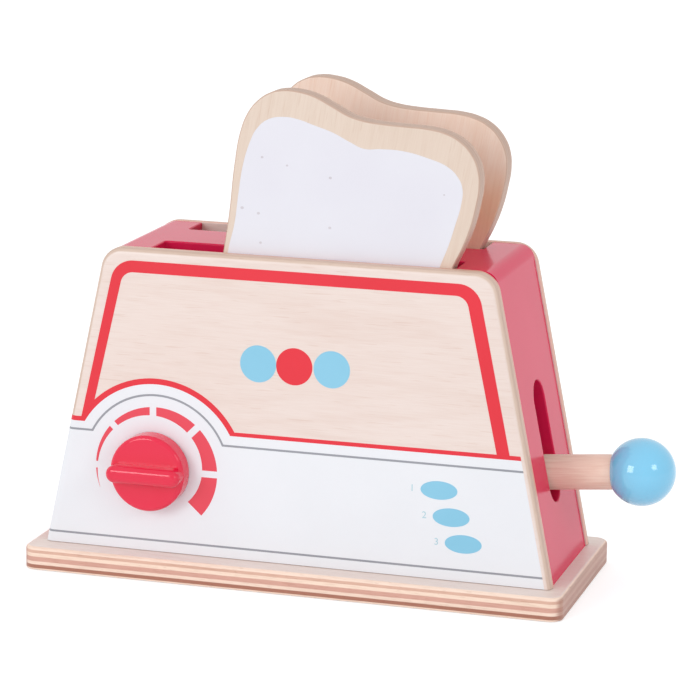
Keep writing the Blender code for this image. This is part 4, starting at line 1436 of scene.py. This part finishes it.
@dataclass
class FrontPrint:
    """Everything printed on the front panel: thin closed films, one for each ink."""

    house: Housing
    foot_gap: float = 0.00022
    rim: float = 0.0023
    rim_steps: int = 6
    bare_rim: float = 0.0024
    film: float = 0.00004
    layer: float = 0.00002
    hump: Point = (-0.054, 0.0408)
    hump_inner: float = 0.0332
    hump_outer: float = 0.0354
    line_low: float = 0.0566
    line_top: float = 0.0581
    foot_low: float = 0.0575
    foot_top: float = 0.0593
    grey_width: float = 0.0008
    grey_height: float = 0.0543
    grey_step: float = 0.0527
    grey_radius: float = 0.0288
    grey_low: float = 0.0134
    ring: Point = (-0.054, 0.041)
    ring_radius: float = 0.0242
    ring_first: float = 0.0072
    ring_start: float = -42.0
    ring_sweep: float = 243.0
    slit_width: float = 0.0026
    oval_size: Point = (0.014, 0.007)
    oval_places: tuple[Point, ...] = ((0.056, 0.043), (0.0608, 0.0331), (0.0656, 0.0234))
    dot_size: float = 0.014
    dot_height: float = 0.085
    numeral_size: float = 0.0037
    numeral_gap: float = 0.0032

    def left(self, height: float, inset: float = 0.00004) -> Point:
        """A point on the print's left end, which is the panel's own edge."""
        return (-self.house.panel_half(height) + inset, height)

    def right(self, height: float) -> Point:
        """A point on the print's right end, where the rim starts to turn away."""
        return (self.house.panel_half(height) - self.bare_rim / math.cos(self.house.angle), height)

    @staticmethod
    def arc(centre: Point, radius: float, start: float, end: float, steps: int) -> list[Point]:
        """Points on a circle from one angle in degrees to another.

        Args:
            centre: The circle's centre.
            radius: Its radius.
            start: First angle.
            end: Last angle.
            steps: Steps between them.

        Returns:
            The points, both ends included.
        """
        angles = [math.radians(start + (end - start) * step / steps) for step in range(steps + 1)]
        return [(centre[0] + radius * math.cos(angle), centre[1] + radius * math.sin(angle))
                for angle in angles]

    def over_hump(self, radius: float, left_height: float, right_height: float) -> list[Point]:
        """The hump's arc between a level on its left and one on its right, left to right."""
        start = 180 - math.degrees(math.asin((left_height - self.hump[1]) / radius))
        end = math.degrees(math.asin((right_height - self.hump[1]) / radius))
        return self.arc(self.hump, radius, start, end, 40)

    def white_outline(self) -> list[Point]:
        """The white field: everything under the red line."""
        foot = self.house.base_thickness + self.foot_gap
        middle = (self.foot_low + self.foot_top) / 2
        line = (self.line_low + self.line_top) / 2
        return [self.left(foot), self.right(foot), self.right(line + 0.0002),
                *reversed(self.over_hump((self.hump_inner + self.hump_outer) / 2, middle, line)),
                self.left(middle)]

    def hump_outline(self) -> list[Point]:
        """The red line with its hump round the dial."""
        return [self.left(self.foot_low), *self.over_hump(self.hump_inner, self.foot_low,
                                                          self.line_low),
                self.right(self.line_low + 0.0002), self.right(self.line_top + 0.0003),
                *reversed(self.over_hump(self.hump_outer, self.foot_top, self.line_top)),
                self.left(self.foot_top)]

    def frame_outline(self) -> list[Point]:
        """The red frame, open below, whose legs end inside the red line."""
        return rounded([
            (-0.0840, 0.0594, 0), (-0.0791, 0.0645, 0), (-0.06715, 0.11605, 0.005),
            (0.0647, 0.11605, 0.005), (0.0776, 0.0574, 0), (0.0824, 0.0574, 0),
            (0.0689, 0.1205, 0.009), (-0.0703, 0.1205, 0.009)])

    def grey_outline(self) -> list[Point]:
        """The grey line that follows the hump."""
        half = self.grey_width / 2
        inner, outer = self.grey_radius - half, self.grey_radius + half
        low, step = self.grey_height, self.grey_step

        def bow(radius: float, left_height: float, right_height: float) -> list[Point]:
            """The arc of one side of the line."""
            start = 180 - math.degrees(math.asin((left_height - self.ring[1]) / radius))
            end = math.degrees(math.asin((right_height - self.ring[1]) / radius))
            return self.arc(self.ring, radius, start, end, 36)

        return [self.left(low - half), *bow(inner, low - half, step - half),
                self.right(step - half), self.right(step + half),
                *reversed(bow(outer, low + half, step + half)), self.left(low + half)]

    def low_line_outline(self) -> list[Point]:
        """The grey line near the foot."""
        half = self.grey_width / 2
        return [self.left(self.grey_low - half), self.right(self.grey_low - half),
                self.right(self.grey_low + half), self.left(self.grey_low + half)]

    def wrapped(self, name: str, outline: list[Point], lift: float) -> bpy.types.Object:
        """A film that follows the panel's left rim where it reaches it.

        Args:
            name: The piece's name.
            outline: Its outline in XZ, counted from the panel's own edge.
            lift: How far its face stands off the wood.

        Returns:
            The closed film.
        """
        house = self.house
        flat = slab(name, [outline], 0.0)
        mesh = flat.data
        bpy.data.objects.remove(flat)
        build = bmesh.new()
        build.from_mesh(mesh)
        edge = Vector((-house.panel_foot / 2, house.base_thickness, 0))
        inward = Vector((math.cos(house.angle), -math.sin(house.angle), 0))
        quarter = math.pi / 2
        for step in range(self.rim_steps):
            reach = self.rim * (1 - math.sin(quarter * step / self.rim_steps))
            bmesh.ops.bisect_plane(build, geom=build.verts[:] + build.edges[:] + build.faces[:],
                                   plane_co=edge + inward * reach, plane_no=inward,
                                   dist=MERGE_DISTANCE / 4)
        for point in build.verts:
            reach = (point.co - edge).dot(inward)
            turn = 0.0 if reach >= self.rim else math.asin(
                max(0.0, min(1.0, 1 - reach / self.rim)))
            grown = self.rim + lift
            shift = 0.0 if turn == 0 else self.rim - grown * math.sin(turn) - reach
            place = point.co + inward * shift
            point.co = (place.x, house.front + self.rim - grown * math.cos(turn), place.y)
        bmesh.ops.recalc_face_normals(build, faces=build.faces)
        if sum(face.normal.y for face in build.faces) > 0:
            bmesh.ops.reverse_faces(build, faces=build.faces)
        build.to_mesh(mesh)
        build.free()
        film = from_mesh(name, mesh)
        wall = film.modifiers.new("film", "SOLIDIFY")
        wall.thickness, wall.offset = lift + self.film / 2, -1
        return from_evaluated(film, name)

    def numeral(self, text: str, place: Point, lift: float) -> bpy.types.Object:
        """A plain printed numeral.

        Args:
            text: The numeral.
            place: Its middle in XZ.
            lift: How far it stands off the wood.

        Returns:
            The closed film.
        """
        curve = bpy.data.curves.new("numeral_" + text, "FONT")
        curve.body, curve.size, curve.extrude = text, self.numeral_size, lift
        curve.align_x, curve.align_y = "CENTER", "CENTER"
        drawing = bpy.data.objects.new("numeral_" + text, curve)
        bpy.context.scene.collection.objects.link(drawing)
        return from_evaluated(drawing, "numeral_" + text,
                              upright(place[0], self.house.front, place[1]))

    def build(self, shop: Workshop, trees: GrowthTrees, dial: Point) -> None:
        """Print everything.

        Args:
            shop: The workshop.
            trees: The shared geometry trees.
            dial: The dial's axis in XZ, which the scale's slits point at.
        """
        first, second, third = (self.film + self.layer * step for step in range(3))
        for name, outline, lift, ink in (
                ("print_field", self.white_outline(), first, PRINT_WHITE),
                ("print_hump", self.hump_outline(), second, PRINT_RED),
                ("print_frame", self.frame_outline(), third, PRINT_RED),
                ("print_grey_line", self.grey_outline(), second, PRINT_GREY),
                ("print_low_line", self.low_line_outline(), second, PRINT_GREY)):
            shop.deliver(self.wrapped(name, outline, lift), ink, Body.TOASTER)
        scale = trees.scale.grow("print_scale", [(0, 0, 0)], {
            "Radius": self.ring_radius, "First": self.ring_first,
            "Start": math.radians(self.ring_start), "Sweep": math.radians(self.ring_sweep),
            "Slit Width": self.slit_width, "Slit X": dial[0] - self.ring[0],
            "Slit Y": dial[1] - self.ring[1], "Proud": second,
            "Material": shop.coat(PRINT_SCALE_RED)},
            upright(self.ring[0], self.house.front, self.ring[1]))
        shop.deliver(scale, PRINT_SCALE_RED, Body.TOASTER)
        dots = [(-self.dot_size, self.dot_height), (self.dot_size * 1.03, self.dot_height)]
        for name, places, size, lift, ink in (
                ("print_ovals", self.oval_places, self.oval_size, second, PRINT_BLUE),
                ("print_blue_dots", dots, (self.dot_size,) * 2, first, PRINT_BLUE),
                ("print_red_dot", [(0.0, self.dot_height)], (self.dot_size,) * 2, second,
                 PRINT_RED)):
            stamps = trees.stamps.grow(name, [(x, self.house.front, z) for x, z in places], {
                "Width": size[0], "Height": size[1], "Proud": lift,
                "Material": shop.coat(ink)})
            shop.deliver(stamps, ink, Body.TOASTER)
        for text, (x, z) in zip("123", self.oval_places):
            place = (x - self.oval_size[0] / 2 - self.numeral_gap, z)
            shop.deliver(self.numeral(text, place, second), PRINT_PALE_BLUE,
                         Body.TOASTER)


@dataclass
class BreadSlice:
    """A slice sawn from thin plywood, leaning on the right end of its opening."""

    name: str
    node: str
    body: Body
    y: float
    finish: WoodFinish
    printed: bool
    width: float = 0.0924
    height: float = 0.100
    thickness: float = 0.008
    edge: float = 0.0007
    lean: float = math.radians(9.5)
    foot_x: float = 0.0086063
    foot_z: float = 0.0830936
    film: float = 0.00004
    shares: tuple[Point, ...] = (
        (-0.361, 0), (-0.401, 0), (-0.455, 0.012), (-0.480, 0.055), (-0.482, 0.120),
        (-0.485, 0.353), (-0.488, 0.500), (-0.500, 0.690), (-0.498, 0.810), (-0.482, 0.878),
        (-0.451, 0.931), (-0.403, 0.973), (-0.351, 0.993), (-0.289, 1), (-0.224, 0.996),
        (-0.140, 0.974), (-0.073, 0.955), (-0.008, 0.949), (0.070, 0.953), (0.178, 0.965),
        (0.255, 0.973), (0.326, 0.971), (0.389, 0.954), (0.445, 0.916), (0.481, 0.866),
        (0.498, 0.806), (0.500, 0.740), (0.493, 0.650), (0.476, 0.570), (0.454, 0.498),
        (0.439, 0.405), (0.425, 0.325), (0.419, 0.240), (0.419, 0.120), (0.417, 0.055),
        (0.391, 0.012), (0.339, 0), (0.299, 0))
    # The white field, in mm about the middle of the slice's foot.
    field_mm: tuple[Point, ...] = (
        (-34.3, 5), (-38.8, 6), (-41.3, 10), (-42.3, 22), (-42.9, 35.7), (-42.2, 46.9),
        (-42.6, 57.8), (-42.7, 69.4), (-41.6, 77.6), (-39.9, 83.1), (-36.2, 87.5), (-29.9, 89.8),
        (-24.8, 90.0), (-18.7, 89.2), (-11.2, 88.1), (-4.2, 86.1), (1.2, 84.9), (7.6, 86.2),
        (15.4, 87.3), (25.6, 86.8), (33.2, 85.3), (37.3, 82.7), (39.8, 79.1), (40.5, 72.8),
        (39.8, 65.5), (38.6, 56.5), (37.1, 49.3), (35.7, 40), (34.9, 28), (34.7, 14), (33.7, 8),
        (29.7, 5), (19.7, 4.6), (-20.3, 4.6))
    crumbs_mm: tuple[Point, ...] = (
        (-36.0, 73.3), (-26.1, 72.4), (-9.2, 71.6), (-40.3, 53.1), (-33.8, 52.5), (-6.1, 53.4),
        (-31.1, 41.9), (33.7, 75.1))

    @property
    def matrix(self) -> Matrix:
        """From the slice's own plane to the toy, its face to the front."""
        return (Matrix.Translation((self.foot_x, self.y, self.foot_z))
                @ Matrix.Rotation(self.lean, 4, "Y") @ Matrix.Rotation(math.pi / 2, 4, "X"))

    def build(self, shop: Workshop, trees: GrowthTrees) -> None:
        """Make and dress the slice, its printed field and the crumbs on it."""
        outline = [(x * self.width, z * self.height) for x, z in self.shares]
        board = slab(self.name, [outline], self.thickness, self.matrix, bezier=10)
        middle = self.y
        board = round_rims(board, self.edge, 3, lambda a, b: (
            (a.y - middle) * (b.y - middle) > 0))
        shop.deliver(polish(board), self.finish, self.body, (self.node,))
        if not self.printed:
            return
        front = Matrix.Translation((0, -self.thickness / 2, 0))
        field_outline = [(x / 1000, z / 1000) for x, z in self.field_mm]
        white = slab(self.name + "_field", [field_outline], 2 * self.film,
                     front @ self.matrix, bezier=8)
        shop.deliver(white, SLICE_WHITE, self.body)
        places = [tuple(front @ self.matrix @ Vector((x / 1000, z / 1000, 0)))
                  for x, z in self.crumbs_mm]
        crumbs = trees.stamps.grow(self.name + "_crumbs", places, {
            "Width": 0.0010, "Height": 0.0008, "Proud": 1.5 * self.film, "Spread": 0.35,
            "Seed": 11, "Material": shop.coat(CRUMB_GREY)})
        shop.deliver(crumbs, CRUMB_GREY, self.body)


@dataclass
class Lever:
    """The see-saw: rocker, handle with its ball, and the bar under the slices."""

    house: Housing
    tilt: float = math.radians(5.1)
    dowel: float = 0.0132
    reach: float = 0.0678
    ball: float = 0.0254
    socket: float = 0.0125
    thickness: float = 0.020
    nose: float = 0.017
    nose_half: float = 0.0105
    heel: float = 0.005
    fillet: float = 0.006
    edge: float = 0.0008
    arm: float = 0.070
    rise: float = math.radians(32.4)
    boss: float = 0.009
    bar: float = 0.010
    bar_end: float = 0.0008
    bar_clearance: float = 0.001
    pin: float = 0.008
    running: float = 0.0004
    gap: float = 0.0001
    wall: float = 0.002
    ball_flat: float = 0.0001

    @property
    def frame(self) -> Matrix:
        """Origin on the pivot, X along the handle, Y up and Z to the front."""
        return (Matrix.Translation((self.house.pivot_x, 0, self.house.pivot_height))
                @ Matrix.Rotation(-self.tilt, 4, "Y") @ Matrix.Rotation(math.pi / 2, 4, "X"))

    @property
    def bar_place(self) -> Vector:
        """The lifting bar's middle in the lever's frame."""
        turn = math.pi - self.rise - self.tilt
        return Vector((self.arm * math.cos(turn), self.arm * math.sin(turn), 0))

    def rocker_outline(self) -> list[Point]:
        """Nose, hub, arm and boss in the lever's frame."""
        turn = math.pi - self.rise - self.tilt
        ahead = Vector((math.cos(turn), math.sin(turn)))
        aside = Vector((-ahead.y, ahead.x))
        end = ahead * (self.arm + self.boss)
        low, high = end + aside * self.boss, end - aside * self.boss
        shoulder = high - ahead * ((high.y - self.nose_half) / ahead.y)
        corner = self.fillet / 3
        return rounded([
            (-self.heel, -self.nose_half, self.fillet), (self.nose, -self.nose_half, corner),
            (self.nose, self.nose_half, corner), (shoulder.x, shoulder.y, self.fillet),
            (high.x, high.y, self.boss), (low.x, low.y, self.boss)])

    def rocker(self) -> bpy.types.Object:
        """The wooden see-saw with its three bores."""
        frame = self.frame
        piece = slab("rocker", [self.rocker_outline()], self.thickness)
        piece = round_rims(piece, self.edge, 3, lambda a, b: a.z * b.z > 0)
        through = self.thickness + 2 * CUT_OVERRUN
        start = self.pin / 2 + self.running + self.wall
        end = self.nose + CUT_OVERRUN
        for tool in (
                cylinder("pin_bore", self.pin + 2 * self.running, through, Matrix()),
                cylinder("bar_bore", self.bar + 2 * self.gap, through,
                         Matrix.Translation(self.bar_place)),
                cylinder("dowel_bore", self.dowel + 2 * self.gap, end - start,
                         along(((start + end) / 2, 0, 0), (1, 0, 0)))):
            piece = boolean(piece, tool)
        piece.data.transform(frame)
        return piece

    def handle_ball(self) -> bpy.types.Object:
        """The turned ball, bored for its dowel and eased at the bore's mouth."""
        radius, bore = self.ball / 2, self.dowel / 2 + self.gap
        mouth = math.asin((bore + 0.0004) / radius)
        profile = [(radius * math.sin(turn), radius * math.cos(turn))
                   for turn in (math.pi * (1 - step / 60) + mouth * (step / 60 - 1)
                                for step in range(61))]
        floor = -radius + self.socket
        points = [(0.0, floor), (bore, floor), (bore, profile[0][1] + 0.0003), *profile]
        points[-1] = (0.0, radius)
        ball = turned("handle_ball", points, 72)
        ball.data.transform(self.frame @ along((self.reach, 0, 0), (1, 0, 0)))
        return ball

    def build(self, shop: Workshop) -> None:
        """Make and dress the four pieces."""
        frame = self.frame
        start = self.pin / 2 + self.running + self.wall + self.gap
        end = self.reach - self.ball / 2 + self.socket - self.gap
        handle = cylinder("handle", self.dowel, end - start,
                          frame @ along(((start + end) / 2, 0, 0), (1, 0, 0)), 72, 0.0006)
        length = self.house.depth - 2 * (self.house.panel_thickness + self.bar_clearance)
        bar = cylinder("slice_bar", self.bar, length, frame @ Matrix.Translation(self.bar_place),
                       64, self.bar_end)
        for piece, finish, slot, node in (
                (self.rocker(), INNER_PLY_FINISH, Slot.BIRCH, "rocker_arm"),
                (handle, DOWEL_FINISH, Slot.DOWEL, "lever_dowel"),
                (self.handle_ball(), BALL_BLUE, Slot.BLUE_PAINT, "lever_ball"),
                (bar, CROSS_DOWEL_FINISH, Slot.DOWEL, "lifting_bar")):
            shop.deliver(polish(piece), finish, Body.LEVER, (node,))


@dataclass
class PivotPosts:
    """Two round-headed posts and the pin between them."""

    house: Housing
    thickness: float = 0.009
    width: float = 0.020
    rocker: float = 0.020
    running: float = 0.0004
    pin: float = 0.008
    gap: float = 0.0001
    edge: float = 0.0006

    @property
    def y(self) -> float:
        """How far each post's middle is from the toy's middle plane."""
        return self.rocker / 2 + self.running + self.thickness / 2

    def post(self, name: str, side: int) -> bpy.types.Object:
        """One post with its bore."""
        house = self.house
        half = self.width / 2
        foot, head = house.base_thickness, house.pivot_height + half
        piece = slab(name, [rounded([(-half, foot, 0), (half, foot, 0), (half, head, half),
                                     (-half, head, half)])],
                     self.thickness, upright(house.pivot_x, side * self.y, 0))
        piece = round_rims(piece, self.edge, 2, lambda a, b: (
            (a.y - side * self.y) * (b.y - side * self.y) > 0
            and max(a.z, b.z) > foot + MERGE_DISTANCE))
        return boolean(piece, cylinder("post_bore", self.pin + 2 * self.gap, 2 * self.thickness,
                                       along((house.pivot_x, side * self.y,
                                              house.pivot_height), (0, 1, 0))))

    def build(self, shop: Workshop) -> None:
        """Make and dress the posts and the pin."""
        house = self.house
        length = 2 * self.y + self.thickness
        pin = cylinder("post_pin", self.pin, length,
                       along((house.pivot_x, 0, house.pivot_height), (0, 1, 0)), 64, 0.0005)
        for piece, finish, slot, node in (
                (self.post("post_front", -1), INNER_PLY_FINISH, Slot.BIRCH, "front_pivot_post"),
                (self.post("post_rear", 1), INNER_PLY_FINISH, Slot.BIRCH, "rear_pivot_post"),
                (pin, CROSS_DOWEL_FINISH, Slot.DOWEL, "pivot_pin")):
            shop.deliver(polish(piece), finish, Body.TOASTER, (node,))


@dataclass
class Dial:
    """The round knob with a straight grip across it."""

    house: Housing
    x: float = -0.0553
    height: float = 0.0411
    diameter: float = 0.0292
    disc: float = 0.0075
    rim: float = 0.0016
    grip_length: float = 0.029
    grip_width: float = 0.0067
    grip_height: float = 0.0058
    grip_edge: float = 0.0024
    running: float = 0.0004
    bore: float = 0.0042
    bore_depth: float = 0.0062

    def build(self, shop: Workshop) -> None:
        """Make and dress the knob."""
        frame = upright(self.x, self.house.front, self.height)
        low, high = self.running, self.running + self.disc
        radius = self.diameter / 2
        rim = [(radius - self.rim + self.rim * math.cos(turn),
                high - self.rim + self.rim * math.sin(turn))
               for turn in (math.pi / 2 * step / 8 for step in range(9))]
        knob = turned("knob", [(0.0, low), (radius - 0.0004, low), (radius, low + 0.0004), *rim,
                               (0.0, high)], 96)
        depth = self.disc / 2 + self.grip_height
        grip = slab("grip", [rectangle(self.grip_length, self.grip_width, self.grip_width / 2)],
                    depth, Matrix.Translation((0, 0, low + self.disc / 2 + depth / 2)))
        top = low + self.disc + self.grip_height
        grip = round_rims(grip, self.grip_edge, 6,
                          lambda a, b: min(a.z, b.z) > top - MERGE_DISTANCE)
        knob = boolean(knob, grip, "UNION")
        knob = boolean(knob, cylinder("knob_bore", self.bore, 2 * self.bore_depth,
                                      Matrix.Translation((0, 0, low)), 24))
        knob.data.transform(frame)
        shop.deliver(polish(knob), KNOB_RED, Body.DIAL, ("dial_knob",))
        shop.dress_node("dial_screw", STEEL)


@dataclass
class Fasteners:
    """The screws under the base board and the dowels in the shell."""

    house: Housing
    side_spacing: float = 0.044
    length: float = 0.022
    recess: float = 0.0004

    def places(self) -> dict[str, Point]:
        """Each screw's CAD node and its place on the underside."""
        house = self.house
        middle = house.base_thickness + (self.length - house.base_thickness) / 2
        y = self.side_spacing / 2
        spots = {f"{side}_{end}_base_screw": (
            across * (house.shell_half(middle, across) - house.board_span / 2), ahead * y)
                 for side, across in (("left", -1), ("right", 1))
                 for end, ahead in (("front", -1), ("rear", 1))}
        post = PivotPosts(house).y
        spots["front_post_screw"] = (house.pivot_x, -post)
        spots["rear_post_screw"] = (house.pivot_x, post)
        return spots

    def build(self, shop: Workshop, trees: GrowthTrees) -> None:
        """Make the screws and dress the hidden dowels."""
        spots = self.places()
        screws = trees.screws.grow("base_screws", [(x, y, self.recess)
                                                   for x, y in spots.values()],
                                   {"Material": shop.coat(STEEL)})
        shop.deliver(screws, STEEL, Body.TOASTER, tuple(spots))
        for side in ("left", "right"):
            for end in ("front", "rear"):
                shop.dress_node(f"{side}_{end}_top_dowel", DOWEL_FINISH)


@dataclass
class Studio:
    """White floor and surroundings, two soft boxes and the camera."""

    azimuth: float = math.radians(16.44)
    elevation: float = math.radians(12.59)
    roll: float = math.radians(0.82)
    distance: float = 1.1448
    target: Place = (0.01141, 0.0, 0.08518)
    lens: float = 156.03
    floor_radius: float = 6.0
    floor_colour: Colour = (0.86, 0.86, 0.87, 1.0)
    floor_lift: float = 0.42
    ambient: float = 0.80
    lamp_reach: float = 1.7
    # Each soft box: how far right of the front it stands, its height angle, size and power.
    lamps: tuple[tuple[str, float, float, float, float], ...] = (
        ("left_box", -27.0, 18.0, 0.65, 6.6), ("right_box", 60.0, 24.0, 0.46, 3.0))

    def sees_white(self, shader: Shader) -> bpy.types.NodeSocket:
        """A mask that is 1 for what the camera, gloss and glass look at."""
        path = shader.add("ShaderNodeLightPath").outputs
        first = shader.math("MAXIMUM", path["Is Camera Ray"], path["Is Glossy Ray"])
        return shader.math("MAXIMUM", first, path["Is Transmission Ray"])

    def world(self) -> None:
        """Even surroundings: white to look at, softer as light."""
        world = bpy.data.worlds.new("studio")
        world.use_nodes = True
        shader = Shader(world.node_tree)
        background = world.node_tree.nodes["Background"]
        background.inputs["Color"].default_value = (1.0, 1.0, 1.0, 1.0)
        shader.feed(background.inputs["Strength"],
                    shader.remap(self.sees_white(shader), 0.0, 1.0, self.ambient, 1.0, False))
        bpy.context.scene.world = world

    def floor(self) -> None:
        """A pale round floor that keeps the toy's shadow."""
        build = bmesh.new()
        bmesh.ops.create_circle(build, cap_ends=True, segments=96, radius=self.floor_radius)
        mesh = bpy.data.meshes.new("floor")
        build.to_mesh(mesh)
        build.free()
        mesh.transform(Matrix.Translation((0, 0, -0.0002)))
        floor = from_mesh("floor", mesh)
        material = bpy.data.materials.new("pale_floor")
        material.use_nodes = True
        shader = Shader(material.node_tree)
        surface = material.node_tree.nodes["Principled BSDF"]
        surface.inputs["Base Color"].default_value = self.floor_colour
        surface.inputs["Roughness"].default_value = 0.9
        surface.inputs["Specular IOR Level"].default_value = 0.0
        surface.inputs["Emission Color"].default_value = (1.0, 1.0, 1.0, 1.0)
        shader.feed(surface.inputs["Emission Strength"],
                    shader.remap(self.sees_white(shader), 0.0, 1.0, 0.0, self.floor_lift, False))
        mesh.materials.append(material)

    def soft_boxes(self) -> None:
        """The two square lamps at the left front and at the right."""
        for name, turn, rise, size, power in self.lamps:
            lamp = bpy.data.lights.new(name, "AREA")
            lamp.energy, lamp.size, lamp.shape = power, size, "SQUARE"
            light = bpy.data.objects.new(name, lamp)
            turn, rise = math.radians(turn), math.radians(rise)
            away = Vector((math.sin(turn) * math.cos(rise), -math.cos(turn) * math.cos(rise),
                           math.sin(rise)))
            light.location = Vector(self.target) + away * self.lamp_reach
            light.rotation_euler = (-away).to_track_quat("-Z", "Y").to_euler()
            bpy.context.scene.collection.objects.link(light)

    def camera(self) -> None:
        """The photograph's viewpoint."""
        back = Vector((math.sin(self.azimuth) * math.cos(self.elevation),
                       -math.cos(self.azimuth) * math.cos(self.elevation),
                       math.sin(self.elevation)))
        right = (-back).cross(Vector((0, 0, 1))).normalized()
        up = back.cross(right)
        across = right * math.cos(self.roll) + up * math.sin(self.roll)
        above = up * math.cos(self.roll) - right * math.sin(self.roll)
        matrix = Matrix((across, above, back)).transposed().to_4x4()
        matrix.translation = Vector(self.target) + back * self.distance
        data = bpy.data.cameras.new("camera")
        data.lens, data.sensor_width, data.clip_start = self.lens, 36.0, 0.01
        camera = bpy.data.objects.new("camera", data)
        camera.matrix_world = matrix
        bpy.context.scene.collection.objects.link(camera)
        bpy.context.scene.camera = camera

    def build(self) -> None:
        """Set the whole studio up."""
        bpy.context.scene.view_settings.view_transform = "Standard"
        self.world()
        self.floor()
        self.soft_boxes()
        self.camera()


def main() -> None:
    """Build the toaster and its studio."""
    logging.basicConfig(level=logging.INFO, format="%(name)s: %(message)s")
    house = Housing()
    shop = Workshop()
    trees = GrowthTrees()
    dial = Dial(house)
    axis = (dial.x, dial.height)
    fasteners = Fasteners(house)
    BaseBoard(house).build(shop, list(fasteners.places().values()))
    Panels(house).build(shop, axis)
    RedShell(house).build(shop)
    FrontPrint(house).build(shop, trees, axis)
    Lever(house).build(shop)
    PivotPosts(house).build(shop)
    dial.build(shop)
    fasteners.build(shop, trees)
    BreadSlice("slice_front", "front_toast", Body.FRONT_SLICE, -0.0242, FRONT_TOAST_FINISH,
               True).build(shop, trees)
    BreadSlice("slice_rear", "rear_toast", Body.REAR_SLICE, 0.0173, REAR_TOAST_FINISH,
               False).build(shop, trees)
    Studio().build()


if __name__ == "__main__":
    main()
